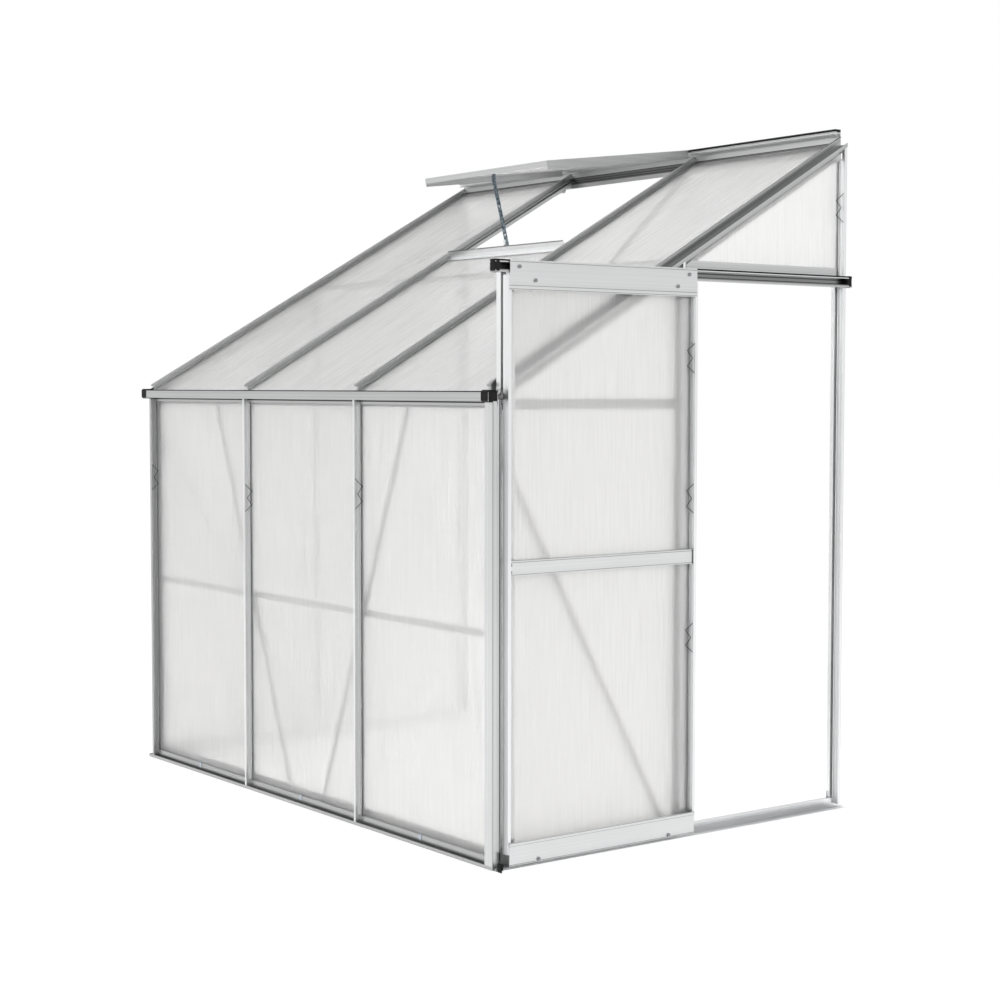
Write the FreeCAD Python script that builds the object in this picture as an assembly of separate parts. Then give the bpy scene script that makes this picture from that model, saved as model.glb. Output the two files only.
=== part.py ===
"""Lean-to greenhouse: an aluminium bar frame glazed with thin sheet, a sliding door and a roof vent.

Millimetres. +X runs along the house wall to the door gable, +Y points at the house wall, +Z is up.
The origin lies on the ground in the wall plane, halfway along the greenhouse.
"""
import FreeCAD
import Part
import math
import os
from FreeCAD import Vector

# Bays and overall form
BAY = 622.0
FRONT_BAYS = 3
GABLE_BAYS = 2
CORNER_INSET = 30.0
CORNER_DEPTH = 22.0
WALL_INSET = 9.0
ROOF_ANGLE = 29.5
EAVE_HEAD = 1235.0

# Glazing bar section
HEAD_WIDTH = 10.0
SKIN = 1.5
WEB_THICK = 2.0
WING_WIDTH = 24.0
WING_DEPTH = 14.0
FLANGE_DEPTH = 21.0
FLANGE_WIDTH = 36.0
CHANNEL_WIDTH = 15.0
CHANNEL_SLOT = 6.0
INNER_FACE = 34.0
LEG_REACH = 22.0

# Sheets and clearances
SHEET = 4.0
SHEET_GAP = 2.0
FIT = 0.3
RUN_GAP = 0.08
BACK_GAP = 3.0
SLACK = 0.6
OVER = 1.0

# Sills
SILL_LIP = 9.0
SILL_SEAT = 26.0
SILL_STRIP = 2.0
SILL_UPSTAND = 45.0
TRACK_REACH = 41.0
TRACK_RIB = 9.0
TRACK_RIB_NEAR = 10.0
TRACK_RIB_FAR = 20.0
CAP_THICK = 2.0
CAP_HEIGHT = 25.0

# Eave beam with its gutter
GUTTER_REACH = 15.0
GUTTER_DROP = 39.0
GUTTER_HEIGHT = 26.0
GUTTER_BEAD = 3.0
EAVE_STRIP_DROP = 12.0
EAVE_SHELF_RISE = 4.0
EAVE_FLANGE_DROP = 24.0

# Flat bars
BAR_WIDTH = 20.0
BRACE_WIDTH = 16.0
BAR_THICK = 2.0
MID_RAIL = 598.0
BRACE_TOP = 422.0
BRACE_FOOT_LEVEL = 32.0
GABLE_BRACE_DROP = 121.5
GABLE_BRACE_CLEAR = 38.0
ROOF_BRACE_LOW = 114.0
ROOF_BRACE_WALL = 50.0
CORNER_BOLT = 48.0
CROSS_BAR_WIDTH = 25.0
TRANSOM_RISE = 12.0
TRANSOM_BOLT = 26.0
RAFTER_SETBACK = 5.5
SHEET_SETBACK = 7.3
BRACKET_RUN = 60.0
CORNER_PLATE_RUN = 45.0
GABLE_BOLT = 49.0
FOOT_BOLT = 37.0

# Ridge and vent
RIDGE_RISE = 20.0
RIDGE_PLATE = 71.0
RIDGE_FLANGE = 24.0
HINGE_DROP = 11.0
HINGE_SETBACK = 20.0
HINGE_ROD = 4.0
HINGE_SHELL = 2.0
HINGE_GAP = 6.0
HINGE_MOUTH = (140, 180, 220, 240)
VENT_LAP = 8.5
VENT_UPSTAND = 10.0
LID_LENGTH = 582.0
LID_OVERHANG = 6.0
LID_TOP = 10.6
LID_SIDE = 27.0
LID_FRONT = 17.0
LID_SEAT = 1.1
LID_FLANGE = 16.0
LID_REST_ANGLE = 7.2
STAY_PIVOT_INSET = 36.0
STAY_PIVOT_DROP = 16.7
STAY_WIDTH = 13.0
STAY_THICK = 2.5
STAY_SET = 15.4
STAY_RISE = 1.1
STAY_TAIL_RUN = 34.0
STAY_TAIL_DROP = 31.0
STAY_PIN = 3.0
STAY_HOLES = 4
PEG_RISE = 26.0

# Door track
RAIL_DROP = 80.4
RAIL_HEIGHT = 32.0
RAIL_DEPTH = 25.0
RAIL_LIP = 5.0
RAIL_OVERRUN = 10.0
RAIL_POST_WIDTH = 17.0
RAIL_POST_REACH = 18.0

# Door leaf
DOOR_INSET = 28.0
DOOR_LAP = 24.0
DOOR_BACK = 5.0
DOOR_FACE = 27.0
DOOR_PLATE = 2.5
DOOR_LOW = 12.0
DOOR_FOOT_HEIGHT = 60.0
DOOR_FOOT_WEB = 30.0
DOOR_FOOT_BEAD = 8.0
DOOR_MID_LOW = 753.0
DOOR_MID_HEIGHT = 39.0
DOOR_MID_FACE = 22.0
DOOR_HEAD_HEIGHT = 76.0
DOOR_HEAD_WEB = 7.0
DOOR_FLANGE = 34.0
ROLLER_RADIUS = 12.7
ROLLER_WIDTH = 9.0
ROLLER_INSET = 33.0
ROLLER_START = 10.0
AXLE = 3.0
SHOE_INSET = 97.0
SHOE_WIDTH = 20.0
SHOE_GAP = 0.75
SHOE_BOLT = 8.0
PLATE_BOLT_FRONT = 84.0
PLATE_BOLT_REAR = 74.0
PLATE_BOLT_DROP = 50.0
MID_BOLT = 10.0

# Wire clips, bolts and screw holes
WIRE = 1.8
CLIP_LENGTH = 84.0
CLIP_REACH = 22.0
CLIP_WALL = 934.0
CLIP_STAGGER = 40.0
CLIP_ROOF_FIRST = 688.0
CLIP_ROOF_SECOND = 524.0
CLIP_ROOF_THIRD = 467.0
CLIP_GABLE = 1749.0
CLIP_DOOR = 550.0
CLIP_DOOR_STEP = 380.0
PANE_CLIP = 15.0
PANE_CLIP_WIDTH = 10.0
PANE_CLIP_OFFSET = 5.0
BOLT_RADIUS = 2.5
BOLT_HEAD = 5.0
BOLT_HEAD_THICK = 3.0
BOLT_TAIL = 1.0
NUT_ACROSS = 10.0
NUT_THICK = 4.0
WASHER = 6.0
HOLE_GAP = 0.5
SCREW_HOLE = 3.5
SCREW_FIRST = 300.0
SCREW_LAST = 1700.0
RIDGE_SCREW = 14.0

# Derived sizes
HALF = FRONT_BAYS * BAY / 2 + CORNER_INSET
DEPTH = CORNER_DEPTH + GABLE_BAYS * BAY + WALL_INSET
FRONT = -DEPTH
ANGLE = math.radians(ROOF_ANGLE)
FALL = 1 / math.cos(ANGLE)
WEB = WEB_THICK / 2
WING = WING_WIDTH / 2
FLANGE = FLANGE_WIDTH / 2
CHANNEL = CHANNEL_WIDTH / 2
WING_BACK = WING_DEPTH + SKIN
FLANGE_BACK = FLANGE_DEPTH + SKIN
INNER_BACK = INNER_FACE + BAR_THICK
SHEET_FRONT = FLANGE_DEPTH - SHEET
PURLIN_DEPTH = CORNER_DEPTH + BAY
RIDGE_TOP = EAVE_HEAD + DEPTH * math.tan(ANGLE) + RIDGE_RISE
RIDGE_LOW = RIDGE_TOP - RIDGE_PLATE
GUTTER_BACK = WING_BACK + FIT
GUTTER_FLOOR = EAVE_HEAD - GUTTER_DROP
GUTTER_TOP = GUTTER_FLOOR + GUTTER_HEIGHT
SHELF = GUTTER_FLOOR + EAVE_SHELF_RISE
SHELF_TOP = SHELF + SKIN
CROSS_BAR = SHELF - CROSS_BAR_WIDTH / 2
EDGE = WEB + SHEET_GAP
CORNER_START = INNER_BACK + FIT
X = Vector(1, 0, 0)
Y = Vector(0, 1, 0)
Z = Vector(0, 0, 1)
PITCH = Vector(0, math.cos(ANGLE), math.sin(ANGLE))
NORMAL = Vector(0, -math.sin(ANGLE), math.cos(ANGLE))

FRONT_LINES = [CORNER_INSET - HALF + BAY * i for i in range(FRONT_BAYS + 1)]
GABLE_LINES = [FRONT + CORNER_DEPTH + BAY * i for i in range(GABLE_BAYS + 1)]



def head(y):
    """Height of the roof's head plane above the point y."""
    return EAVE_HEAD + (y - FRONT) * math.tan(ANGLE)


RAIL_LOW = head(GABLE_LINES[1]) - RAIL_DROP
TRANSOM = RAIL_LOW + RAIL_HEIGHT + TRANSOM_RISE
VENT_Y = VENT_LAP - HINGE_SETBACK - LID_LENGTH * math.cos(ANGLE)

nodes = {}
cutters = {}
bolts = []
door_bolts = []


def box(x, y, z):
    """Solid box between three pairs of limits, given in any order."""
    low = Vector(min(x), min(y), min(z))
    high = Vector(max(x), max(y), max(z))
    size = high - low
    return Part.makeBox(size.x, size.y, size.z, low)


def front(u, d, z):
    """Box on the front wall, d counted inwards from its outer plane."""
    return box(u, (FRONT + d[0], FRONT + d[1]), z)


def gable(side, u, d, z):
    """Box on a gable, d counted inwards from its outer plane."""
    return box((side * (HALF - d[0]), side * (HALF - d[1])), u, z)


def prism(points, x):
    """Solid from a polygon of (y, z) points, run between two values of x."""
    loop = [Vector(min(x), p[0], p[1]) for p in points]
    face = Part.Face(Part.makePolygon(loop + [loop[0]]))
    return face.extrude(X * (max(x) - min(x)))


def slope(x, n, y):
    """Slab on the roof pitch, n counted down from the head plane, with upright ends."""
    points = [(y[0], head(y[0]) - n[0] * FALL), (y[1], head(y[1]) - n[0] * FALL)]
    points += [(y[1], head(y[1]) - n[1] * FALL), (y[0], head(y[0]) - n[1] * FALL)]
    return prism(points, x)


def fuse(parts):
    """One solid from touching or overlapping parts."""
    return parts[0].multiFuse(parts[1:]).removeSplitter()


def cylinder(radius, length, start, direction):
    """Round bar from a start point along a direction."""
    return Part.makeCylinder(radius, length, start, direction)


def strip(start, end, width, across, thick):
    """Flat bar between two points on its near face, thickness laid along across."""
    along = (end - start).normalize()
    side = across.cross(along) * (width / 2)
    first = start - along * (width / 2)
    last = end + along * (width / 2)
    loop = [first - side, last - side, last + side, first + side]
    face = Part.Face(Part.makePolygon(loop + [loop[0]]))
    return face.extrude(across * thick)


def hexagon(across_flats, thick, start, direction):
    """Hexagonal prism from a start point along a direction."""
    reach = across_flats / math.sqrt(3)
    first = Z.cross(direction)
    if first.Length < 0.5:
        first = X
    first = first.normalize()
    second = direction.cross(first)
    loop = []
    for i in range(6):
        turn = math.radians(60 * i)
        loop.append(start + first * (reach * math.cos(turn)) + second * (reach * math.sin(turn)))
    face = Part.Face(Part.makePolygon(loop + [loop[0]]))
    return face.extrude(direction * thick)


def bolt(seat, direction, grip):
    """Bolt and nut, the head seated at a point and the shank run along a direction."""
    length = grip + NUT_THICK + BOLT_TAIL
    cap = cylinder(BOLT_HEAD, BOLT_HEAD_THICK, seat - direction * BOLT_HEAD_THICK, direction)
    shank = cylinder(BOLT_RADIUS, length, seat, direction)
    nut = hexagon(NUT_ACROSS, NUT_THICK, seat + direction * grip, direction)
    bore = cylinder(BOLT_RADIUS + FIT, NUT_THICK, seat + direction * grip, direction)
    return [fuse([cap, shank]), nut.cut(bore)]


def drill(names, seat, direction, grip):
    """Note a bolt hole through each named node."""
    hole = cylinder(BOLT_RADIUS + HOLE_GAP, grip + 2 * OVER, seat - direction * OVER, direction)
    for name in names:
        cutters.setdefault(name, []).append(hole)


def fasten(names, seat, direction, grip):
    """Put a bolt through the named nodes."""
    drill(names, seat, direction, grip)
    bolts.extend(bolt(seat, direction, grip))


def washer(seat, direction):
    """Packing washer as thick as a flat bar."""
    disc = cylinder(WASHER, BAR_THICK, seat, direction)
    return disc.cut(cylinder(BOLT_RADIUS + FIT, BAR_THICK, seat, direction))


def bar_rects(left=True, right=True):
    """Glazing bar section as (across, depth) spans about its web."""
    low = -1 if left else 0
    high = 1 if right else 0
    half_head = HEAD_WIDTH / 2
    rects = [((-half_head, half_head), (0, WEB_THICK))]
    rects.append(((-WEB, WEB), (WEB_THICK, FLANGE_BACK)))
    rects.append(((low * WING, high * WING), (WING_DEPTH, WING_BACK)))
    rects.append(((low * FLANGE, high * FLANGE), (FLANGE_DEPTH, FLANGE_BACK)))
    for side in (-1, 1):
        outer = side * CHANNEL
        rects.append(((outer - side * SKIN, outer), (FLANGE_DEPTH, INNER_FACE)))
        rects.append(((side * CHANNEL_SLOT / 2, outer), (INNER_FACE - SKIN, INNER_FACE)))
    return rects


def corner_rects(boxed=False):
    """Corner section as (inset from gable, depth from front) spans, with its outer corner open or boxed."""
    half_head = HEAD_WIDTH / 2
    near = CORNER_INSET + WEB
    side = CORNER_DEPTH + WEB
    leg = INNER_FACE - SKIN
    first = 0 if boxed else CORNER_INSET - half_head
    low = 0 if boxed else CORNER_DEPTH - half_head
    rects = [((first, CORNER_INSET + half_head), (0, WEB_THICK))]
    rects.append(((CORNER_INSET - WEB, near), (WEB_THICK, INNER_FACE)))
    rects.append(((near, CORNER_INSET + WING), (WING_DEPTH, WING_BACK)))
    rects.append(((near, CORNER_INSET + FLANGE), (FLANGE_DEPTH, FLANGE_BACK)))
    rects.append(((0, WEB_THICK), (low, CORNER_DEPTH + half_head)))
    rects.append(((WEB_THICK, CORNER_INSET), (CORNER_DEPTH - WEB, side)))
    rects.append(((WING_DEPTH, WING_BACK), (side, CORNER_DEPTH + WING)))
    rects.append(((FLANGE_DEPTH, FLANGE_BACK), (side, CORNER_DEPTH + FLANGE)))
    rects.append(((CORNER_INSET, near + LEG_REACH), (leg, INNER_FACE)))
    rects.append(((leg, INNER_FACE), (leg, INNER_FACE + LEG_REACH)))
    return rects


# Front sill and the two gable sills
def sill_rects():
    """Sill section as (depth, height) spans."""
    rects = [((0, INNER_BACK), (0, SKIN)), ((0, SKIN), (0, SILL_LIP))]
    rects.append(((WING_DEPTH, WING_BACK), (0, SILL_SEAT + SILL_STRIP)))
    rects.append(((WING_DEPTH, INNER_BACK), (SILL_SEAT - SKIN, SILL_SEAT)))
    rects.append(((INNER_FACE, INNER_BACK), (0, SILL_UPSTAND)))
    return rects


def make_front_sill():
    """Front sill with its two returned ends."""
    parts = []
    starts = [0, 0, WING_DEPTH, WING_DEPTH, INNER_FACE]
    for start, (d, z) in zip(starts, sill_rects()):
        parts.append(front((start - HALF, HALF - start), d, z))
    for side in (-1, 1):
        parts.append(gable(side, (FRONT, FRONT + INNER_BACK), (0, SKIN), (0, SILL_LIP)))
        strip_z = (0, SILL_SEAT + SILL_STRIP)
        strip_y = (FRONT + WING_DEPTH, FRONT + INNER_BACK)
        parts.append(gable(side, strip_y, (WING_DEPTH, WING_BACK), strip_z))
    return fuse(parts)


SILL_SPAN = (FRONT + CORNER_START, -BACK_GAP)
nodes["front_sill"] = make_front_sill()
nodes["left_sill"] = fuse([gable(-1, SILL_SPAN, d, z) for d, z in sill_rects()])
TRACK_SPAN = (FRONT, -BACK_GAP)
track = [gable(1, SILL_SPAN, d, z) for d, z in sill_rects()]
track.append(gable(1, SILL_SPAN, (-TRACK_REACH, OVER), (0, SKIN)))
track.append(gable(1, TRACK_SPAN, (-TRACK_REACH, -FIT), (0, SKIN)))
track.append(gable(1, TRACK_SPAN, (-TRACK_REACH, SKIN - TRACK_REACH), (0, TRACK_RIB)))
for rib in (TRACK_RIB_NEAR, TRACK_RIB_FAR):
    track.append(gable(1, TRACK_SPAN, (-rib - SKIN, -rib), (0, TRACK_RIB)))
doorway = (GABLE_LINES[1] + FLANGE, GABLE_LINES[-1] - FLANGE)
step = gable(1, doorway, (INNER_FACE - OVER, INNER_BACK + OVER), (SILL_SEAT, SILL_UPSTAND + OVER))
nodes["door_sill"] = fuse(track).cut(step)
sill_cap = gable(1, (FRONT - CAP_THICK, FRONT), (-TRACK_REACH, -TRACK_RIB_FAR), (0, CAP_HEIGHT))

# Uprights of the front wall
UPRIGHT = (SILL_LIP, SHELF)
NOTCH_TOP = SILL_SEAT + SILL_STRIP + FIT


def front_cuts(u):
    """Spaces an upright of the front wall leaves to the sill and the eave beam."""
    cuts = [front(u, (WING_DEPTH - FIT, INNER_BACK), (0, NOTCH_TOP))]
    cuts.append(front(u, (-OVER, GUTTER_BACK + FIT), (GUTTER_FLOOR, SHELF + OVER)))
    strip_z = (GUTTER_FLOOR - EAVE_STRIP_DROP - FIT, SHELF)
    cuts.append(front(u, (WING_DEPTH - FIT, GUTTER_BACK + FIT), strip_z))
    return cuts


studs = []
for line in FRONT_LINES[1:-1]:
    parts = [front((line + u[0], line + u[1]), d, UPRIGHT) for u, d in bar_rects()]
    studs.append(fuse(parts).cut(front_cuts((line - BAY / 2, line + BAY / 2))))
nodes["front_studs"] = Part.makeCompound(studs)


def make_corner_post(side):
    """Corner post of one gable, boxed where the door track meets it."""
    parts = []
    for a, d in corner_rects(boxed=side > 0):
        parts.append(gable(side, (FRONT + d[0], FRONT + d[1]), a, UPRIGHT))
    ends = (side * (HALF - WING_DEPTH + FIT), side * (HALF - BAY / 2))
    cuts = front_cuts((side * HALF, side * (HALF - BAY / 2)))[1:]
    cuts.append(front(ends, (WING_DEPTH - FIT, BAY / 2), (0, NOTCH_TOP)))
    return fuse(parts).cut(cuts)


nodes["front_left_post"] = make_corner_post(-1)
nodes["front_right_post"] = make_corner_post(1)


# Roof rafters
RAFTER_END = -BAR_THICK
RAFTER_START = FRONT + GUTTER_BACK + 2 * FIT


def rafter_cuts(x):
    """Spaces a rafter leaves to the gutter and to the shelf of the eave beam."""
    low = head(FRONT) - WEB_THICK * FALL
    cuts = [box(x, (FRONT - OVER, RAFTER_START), (GUTTER_FLOOR - BAY, low))]
    shelf_y = (FRONT - OVER, FRONT + INNER_BACK + LEG_REACH + FIT)
    cuts.append(box(x, shelf_y, (GUTTER_FLOOR - BAY, SHELF_TOP + FIT)))
    return cuts


def make_rafter(line):
    """Rafter between two roof sheets."""
    parts = []
    for u, n in bar_rects():
        parts.append(slope((line + u[0], line + u[1]), n, (FRONT + RAFTER_SETBACK, RAFTER_END)))
    return fuse(parts).cut(rafter_cuts((line - BAY / 2, line + BAY / 2)))


def make_corner_rafter(side):
    """Rafter on a gable edge, with the corner section laid on the pitch."""
    parts = []
    for a, n in corner_rects():
        x = (side * (HALF - a[0]), side * (HALF - a[1]))
        parts.append(slope(x, n, (FRONT + RAFTER_SETBACK, RAFTER_END)))
    return fuse(parts).cut(rafter_cuts((side * (HALF + OVER), side * (HALF - BAY / 2))))


nodes["rafter_left"] = make_corner_rafter(-1)
nodes["middle_rafters"] = Part.makeCompound([make_rafter(line) for line in FRONT_LINES[1:-1]])
nodes["rafter_right"] = make_corner_rafter(1)

# Uprights of the gables, cut to the rafters above and to the sill below
OUTER_TOP = CORNER_DEPTH + HEAD_WIDTH / 2
INNER_TOP = INNER_FACE + LEG_REACH


def gable_cuts(side):
    """Spaces a gable upright leaves to its rafter and sill."""
    high = (-RIDGE_TOP, OUTER_TOP)
    deep = (-RIDGE_TOP, INNER_TOP)
    whole = (side * (HALF + BAY / 2), side * (HALF - BAY / 2))
    inner = (side * (HALF - WING_DEPTH + FIT), side * (HALF - BAY / 2))
    cuts = [slope(whole, high, (FRONT, OVER)), slope(inner, deep, (FRONT, OVER))]
    cuts.append(box(inner, (FRONT, OVER), (0, NOTCH_TOP)))
    return cuts


def make_gable_stud(side, line, wall=False):
    """Upright of a gable, plain or at the house wall."""
    top = (SILL_LIP, RIDGE_TOP)
    parts = []
    for u, d in bar_rects(right=not wall):
        parts.append(gable(side, (line + u[0], line + u[1]), d, top))
    if wall:
        plate = (-SKIN, 0)
        reach = FLANGE_BACK + FLANGE_WIDTH
        parts.append(gable(side, (line, 0), (FLANGE_DEPTH, FLANGE_BACK), top))
        plate_part = gable(side, plate, (FLANGE_DEPTH, reach), top)
        for level in (SCREW_FIRST, SCREW_LAST):
            spot = Vector(side * (HALF - FLANGE_BACK - FLANGE), -2 * SKIN, level)
            plate_part = plate_part.cut(cylinder(SCREW_HOLE, 4 * SKIN, spot, Y))
        parts.append(plate_part)
    return fuse(parts).cut(gable_cuts(side))


nodes["left_gable_stud"] = make_gable_stud(-1, GABLE_LINES[1])
nodes["door_jamb"] = make_gable_stud(1, GABLE_LINES[1])
nodes["wall_left_post"] = make_gable_stud(-1, GABLE_LINES[-1], wall=True)
nodes["wall_right_post"] = make_gable_stud(1, GABLE_LINES[-1], wall=True)


# Eave beam: gutter in front, shelf over the studs and an inner flange
def make_eave():
    """Eave beam in one piece."""
    ends = (-HALF, HALF)
    inner_ends = (CORNER_START - HALF, HALF - CORNER_START)
    reach = -GUTTER_REACH
    wall_top = head(FRONT + WING_DEPTH) - FLANGE_DEPTH * FALL - FIT
    parts = [front(ends, (reach, reach + SKIN), (GUTTER_FLOOR, GUTTER_TOP))]
    parts.append(front(ends, (reach, reach + SKIN + GUTTER_BEAD), (GUTTER_TOP - GUTTER_BEAD, GUTTER_TOP)))
    parts.append(front(ends, (reach, GUTTER_BACK), (GUTTER_FLOOR, GUTTER_FLOOR + SKIN)))
    parts.append(front(ends, (WING_DEPTH, GUTTER_BACK), (GUTTER_FLOOR - EAVE_STRIP_DROP, wall_top)))
    parts.append(front(inner_ends, (WING_DEPTH, INNER_BACK), (SHELF, SHELF_TOP)))
    parts.append(front(inner_ends, (INNER_FACE, INNER_BACK), (SHELF_TOP - EAVE_FLANGE_DROP, SHELF_TOP)))
    return fuse(parts)


nodes["eave_gutter"] = make_eave()
gutter_caps = []
for side in (-1, 1):
    cap_z = (GUTTER_FLOOR - CAP_THICK, GUTTER_TOP + CAP_THICK)
    cap_y = (FRONT - GUTTER_REACH - CAP_THICK, FRONT + GUTTER_BACK)
    gutter_caps.append(gable(side, cap_y, (-CAP_THICK, 0), cap_z))


# Ridge bar with the socket that carries the vent
HINGE = Vector(0, -HINGE_SETBACK, RIDGE_TOP - HINGE_DROP)


def make_ridge():
    """Ridge bar: wall plate, top flange and hinge socket."""
    span = (CORNER_INSET - HALF, HALF - CORNER_INSET)
    parts = [box(span, (-BAR_THICK, 0), (RIDGE_LOW, RIDGE_TOP))]
    parts.append(box(span, (-RIDGE_FLANGE, 0), (RIDGE_TOP - BAR_THICK, RIDGE_TOP)))
    ring_start = Vector(span[0], HINGE.y, HINGE.z)
    length = span[1] - span[0]
    bore = HINGE_ROD + RUN_GAP
    ring = cylinder(bore + HINGE_SHELL, length, ring_start, X)
    ring = ring.cut(cylinder(bore, length, ring_start, X))
    mouth = []
    for turn in HINGE_MOUTH:
        angle = math.radians(turn)
        reach = 2 * (bore + HINGE_SHELL)
        mouth.append((HINGE.y + reach * math.cos(angle), HINGE.z + reach * math.sin(angle)))
    mouth.append((HINGE.y, HINGE.z))
    ring = ring.cut(prism(mouth, span))
    parts.append(ring)
    parts.append(box(span, (HINGE.y + bore + HINGE_SHELL / 2, 0), (HINGE.z - WEB, HINGE.z + WEB)))
    ridge = fuse(parts)
    for i in (0, FRONT_BAYS - 1):
        spot = Vector(FRONT_LINES[i] + BAY / 2, -2 * BAR_THICK, RIDGE_LOW + RIDGE_SCREW)
        ridge = ridge.cut(cylinder(SCREW_HOLE, 4 * BAR_THICK, spot, Y))
    return ridge


nodes["ridge_bar"] = make_ridge()


# Sill of the roof vent, resting on the flanges of the two middle rafters
def pitch_box(x, y, n, length):
    """Box square to the pitch: starts at y on the head plane, n counted down, length up the pitch."""
    start = Vector(min(x), y, head(y)) - NORMAL * n[1]
    top = start + NORMAL * (n[1] - n[0])
    loop = [start, start + PITCH * length, top + PITCH * length, top]
    face = Part.Face(Part.makePolygon(loop + [loop[0]]))
    return face.extrude(X * (max(x) - min(x)))


VENT_SPAN = (FRONT_LINES[1] + WING + FIT, FRONT_LINES[2] - WING - FIT)
FLANGE_SPAN = (FRONT_LINES[1] + FLANGE + FIT, FRONT_LINES[2] - FLANGE - FIT)
cover = SHEET_FRONT - SKIN - FIT
vent = [pitch_box(VENT_SPAN, VENT_Y, (-VENT_UPSTAND, FLANGE_DEPTH), SKIN)]
vent.append(pitch_box(VENT_SPAN, VENT_Y, (cover, cover + SKIN), -LID_FLANGE))
vent.append(pitch_box(FLANGE_SPAN, VENT_Y, (FLANGE_DEPTH - SKIN, FLANGE_BACK), SKIN))
vent.append(pitch_box(FLANGE_SPAN, VENT_Y, (FLANGE_DEPTH, FLANGE_BACK), -LID_FLANGE))

# Sheets
PANE_D = (SHEET_FRONT, FLANGE_DEPTH)
PANE_TOP = SHELF - SHEET_GAP
front_panes = []
roof_panes = []
for i in range(FRONT_BAYS):
    span = (FRONT_LINES[i] + EDGE, FRONT_LINES[i + 1] - EDGE)
    front_panes.append(front(span, PANE_D, (SILL_SEAT, PANE_TOP)))
    start = FRONT + SHEET_SETBACK
    end = VENT_Y + SHEET_FRONT * math.sin(ANGLE) if i == 1 else -BAR_THICK
    sheet = slope(span, PANE_D, (start, end - SHEET_GAP))
    if i == 1:
        nodes["middle_roof_pane"] = sheet
    else:
        roof_panes.append(sheet)
nodes["front_panes"] = Part.makeCompound(front_panes)
nodes["side_roof_panes"] = Part.makeCompound(roof_panes)


def gable_pane(side, j, bottom):
    """Upper gable sheet, cut to the roof pitch."""
    low = GABLE_LINES[j] + EDGE
    high = GABLE_LINES[j + 1] - EDGE
    top = (CORNER_DEPTH + EDGE) * FALL
    points = [(low, bottom), (high, bottom), (high, head(high) - top), (low, head(low) - top)]
    return prism(points, (side * (HALF - PANE_D[0]), side * (HALF - PANE_D[1])))


def gable_span(j):
    """Edges of the gable sheet in one bay."""
    return (GABLE_LINES[j] + EDGE, GABLE_LINES[j + 1] - EDGE)


LOWER_TOP = CROSS_BAR - SKIN / 2 - SHEET_GAP
UPPER_LOW = CROSS_BAR + SKIN / 2 + SHEET_GAP
lower = (SILL_SEAT, LOWER_TOP)
left_lower = [gable(-1, gable_span(j), PANE_D, lower) for j in range(GABLE_BAYS)]
nodes["left_panes_lower"] = Part.makeCompound(left_lower)
left_upper = [gable_pane(-1, j, UPPER_LOW) for j in range(GABLE_BAYS)]
nodes["left_panes_upper"] = Part.makeCompound(left_upper)
nodes["right_pane_lower"] = gable(1, gable_span(0), PANE_D, lower)
nodes["right_pane_upper"] = gable_pane(1, 0, UPPER_LOW)
nodes["transom_pane"] = gable_pane(1, 1, TRANSOM + SKIN / 2 + SHEET_GAP)


# Cross bars of the gables at eave height and the transom over the door
def cross_bar(side, bays, level, start, end):
    """Cross bar: outer cover and web in each bay, inner strap run past the uprights."""
    half = CROSS_BAR_WIDTH / 2
    parts = [gable(side, (start, end), (INNER_FACE, INNER_BACK), (level - half, level + half))]
    for j in bays:
        low = GABLE_LINES[j] + FLANGE + WEB + FIT
        high = GABLE_LINES[j + 1] - FLANGE - WEB - FIT
        web_low = max(low, FRONT + INNER_TOP + FIT)
        web_z = (level - SKIN / 2, level + SKIN / 2)
        parts.append(gable(side, (low, high), (WING_DEPTH, SHEET_FRONT), web_z))
        parts.append(gable(side, (web_low, high), (WING_DEPTH, INNER_BACK), web_z))
        cover_z = (level - half, level + half)
        parts.append(gable(side, (low, high), (WING_DEPTH, WING_BACK), cover_z))
    return fuse(parts)


STRAP_START = FRONT + INNER_BACK + BAR_THICK
STRAP_END = GABLE_LINES[-1] + CHANNEL - BOLT_TAIL
nodes["left_cross_bar"] = cross_bar(-1, (0, 1), CROSS_BAR, STRAP_START, STRAP_END)
nodes["right_cross_bar"] = cross_bar(1, (0,), CROSS_BAR, STRAP_START, GABLE_LINES[1] + CHANNEL)


def transom_cuts():
    """Spaces the transom leaves to the webs and legs of the right rafter."""
    spans = [((-OVER, INNER_TOP), INNER_FACE + FIT), ((0, FLANGE_BACK + FIT), CORNER_DEPTH + FLANGE + FIT)]
    spans.append(((INNER_FACE - SKIN - FIT, INNER_FACE), INNER_TOP + FIT))
    return [slope((HALF - a[0], HALF - a[1]), (-RIDGE_TOP, n), (FRONT, 0)) for a, n in spans]


transom = cross_bar(1, (1,), TRANSOM, GABLE_LINES[1] - CHANNEL, STRAP_END)
nodes["door_transom"] = transom.cut(transom_cuts())

# Flat rails
RAIL_SPAN = (-HALF + INNER_BACK + BAR_THICK, HALF - INNER_BACK - BAR_THICK)
RAIL_Z = (MID_RAIL - BAR_WIDTH / 2, MID_RAIL + BAR_WIDTH / 2)
front_rail = front(RAIL_SPAN, (INNER_FACE, INNER_BACK), RAIL_Z)
left_rail = gable(-1, (STRAP_START, STRAP_END), (INNER_FACE, INNER_BACK), RAIL_Z)
nodes["mid_rails"] = Part.makeCompound([front_rail, left_rail])
PURLIN_Y = FRONT + PURLIN_DEPTH
purlin_run = BAR_WIDTH * math.cos(ANGLE) / 2
nodes["roof_purlin"] = pitch_box(RAIL_SPAN, PURLIN_Y - purlin_run, (INNER_FACE, INNER_BACK), BAR_WIDTH)


def roof_point(x, depth, n):
    """Point on the pitch, depth back from the front plane on the head plane, n below it."""
    return Vector(x, FRONT + depth, head(FRONT + depth)) - NORMAL * n


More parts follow.
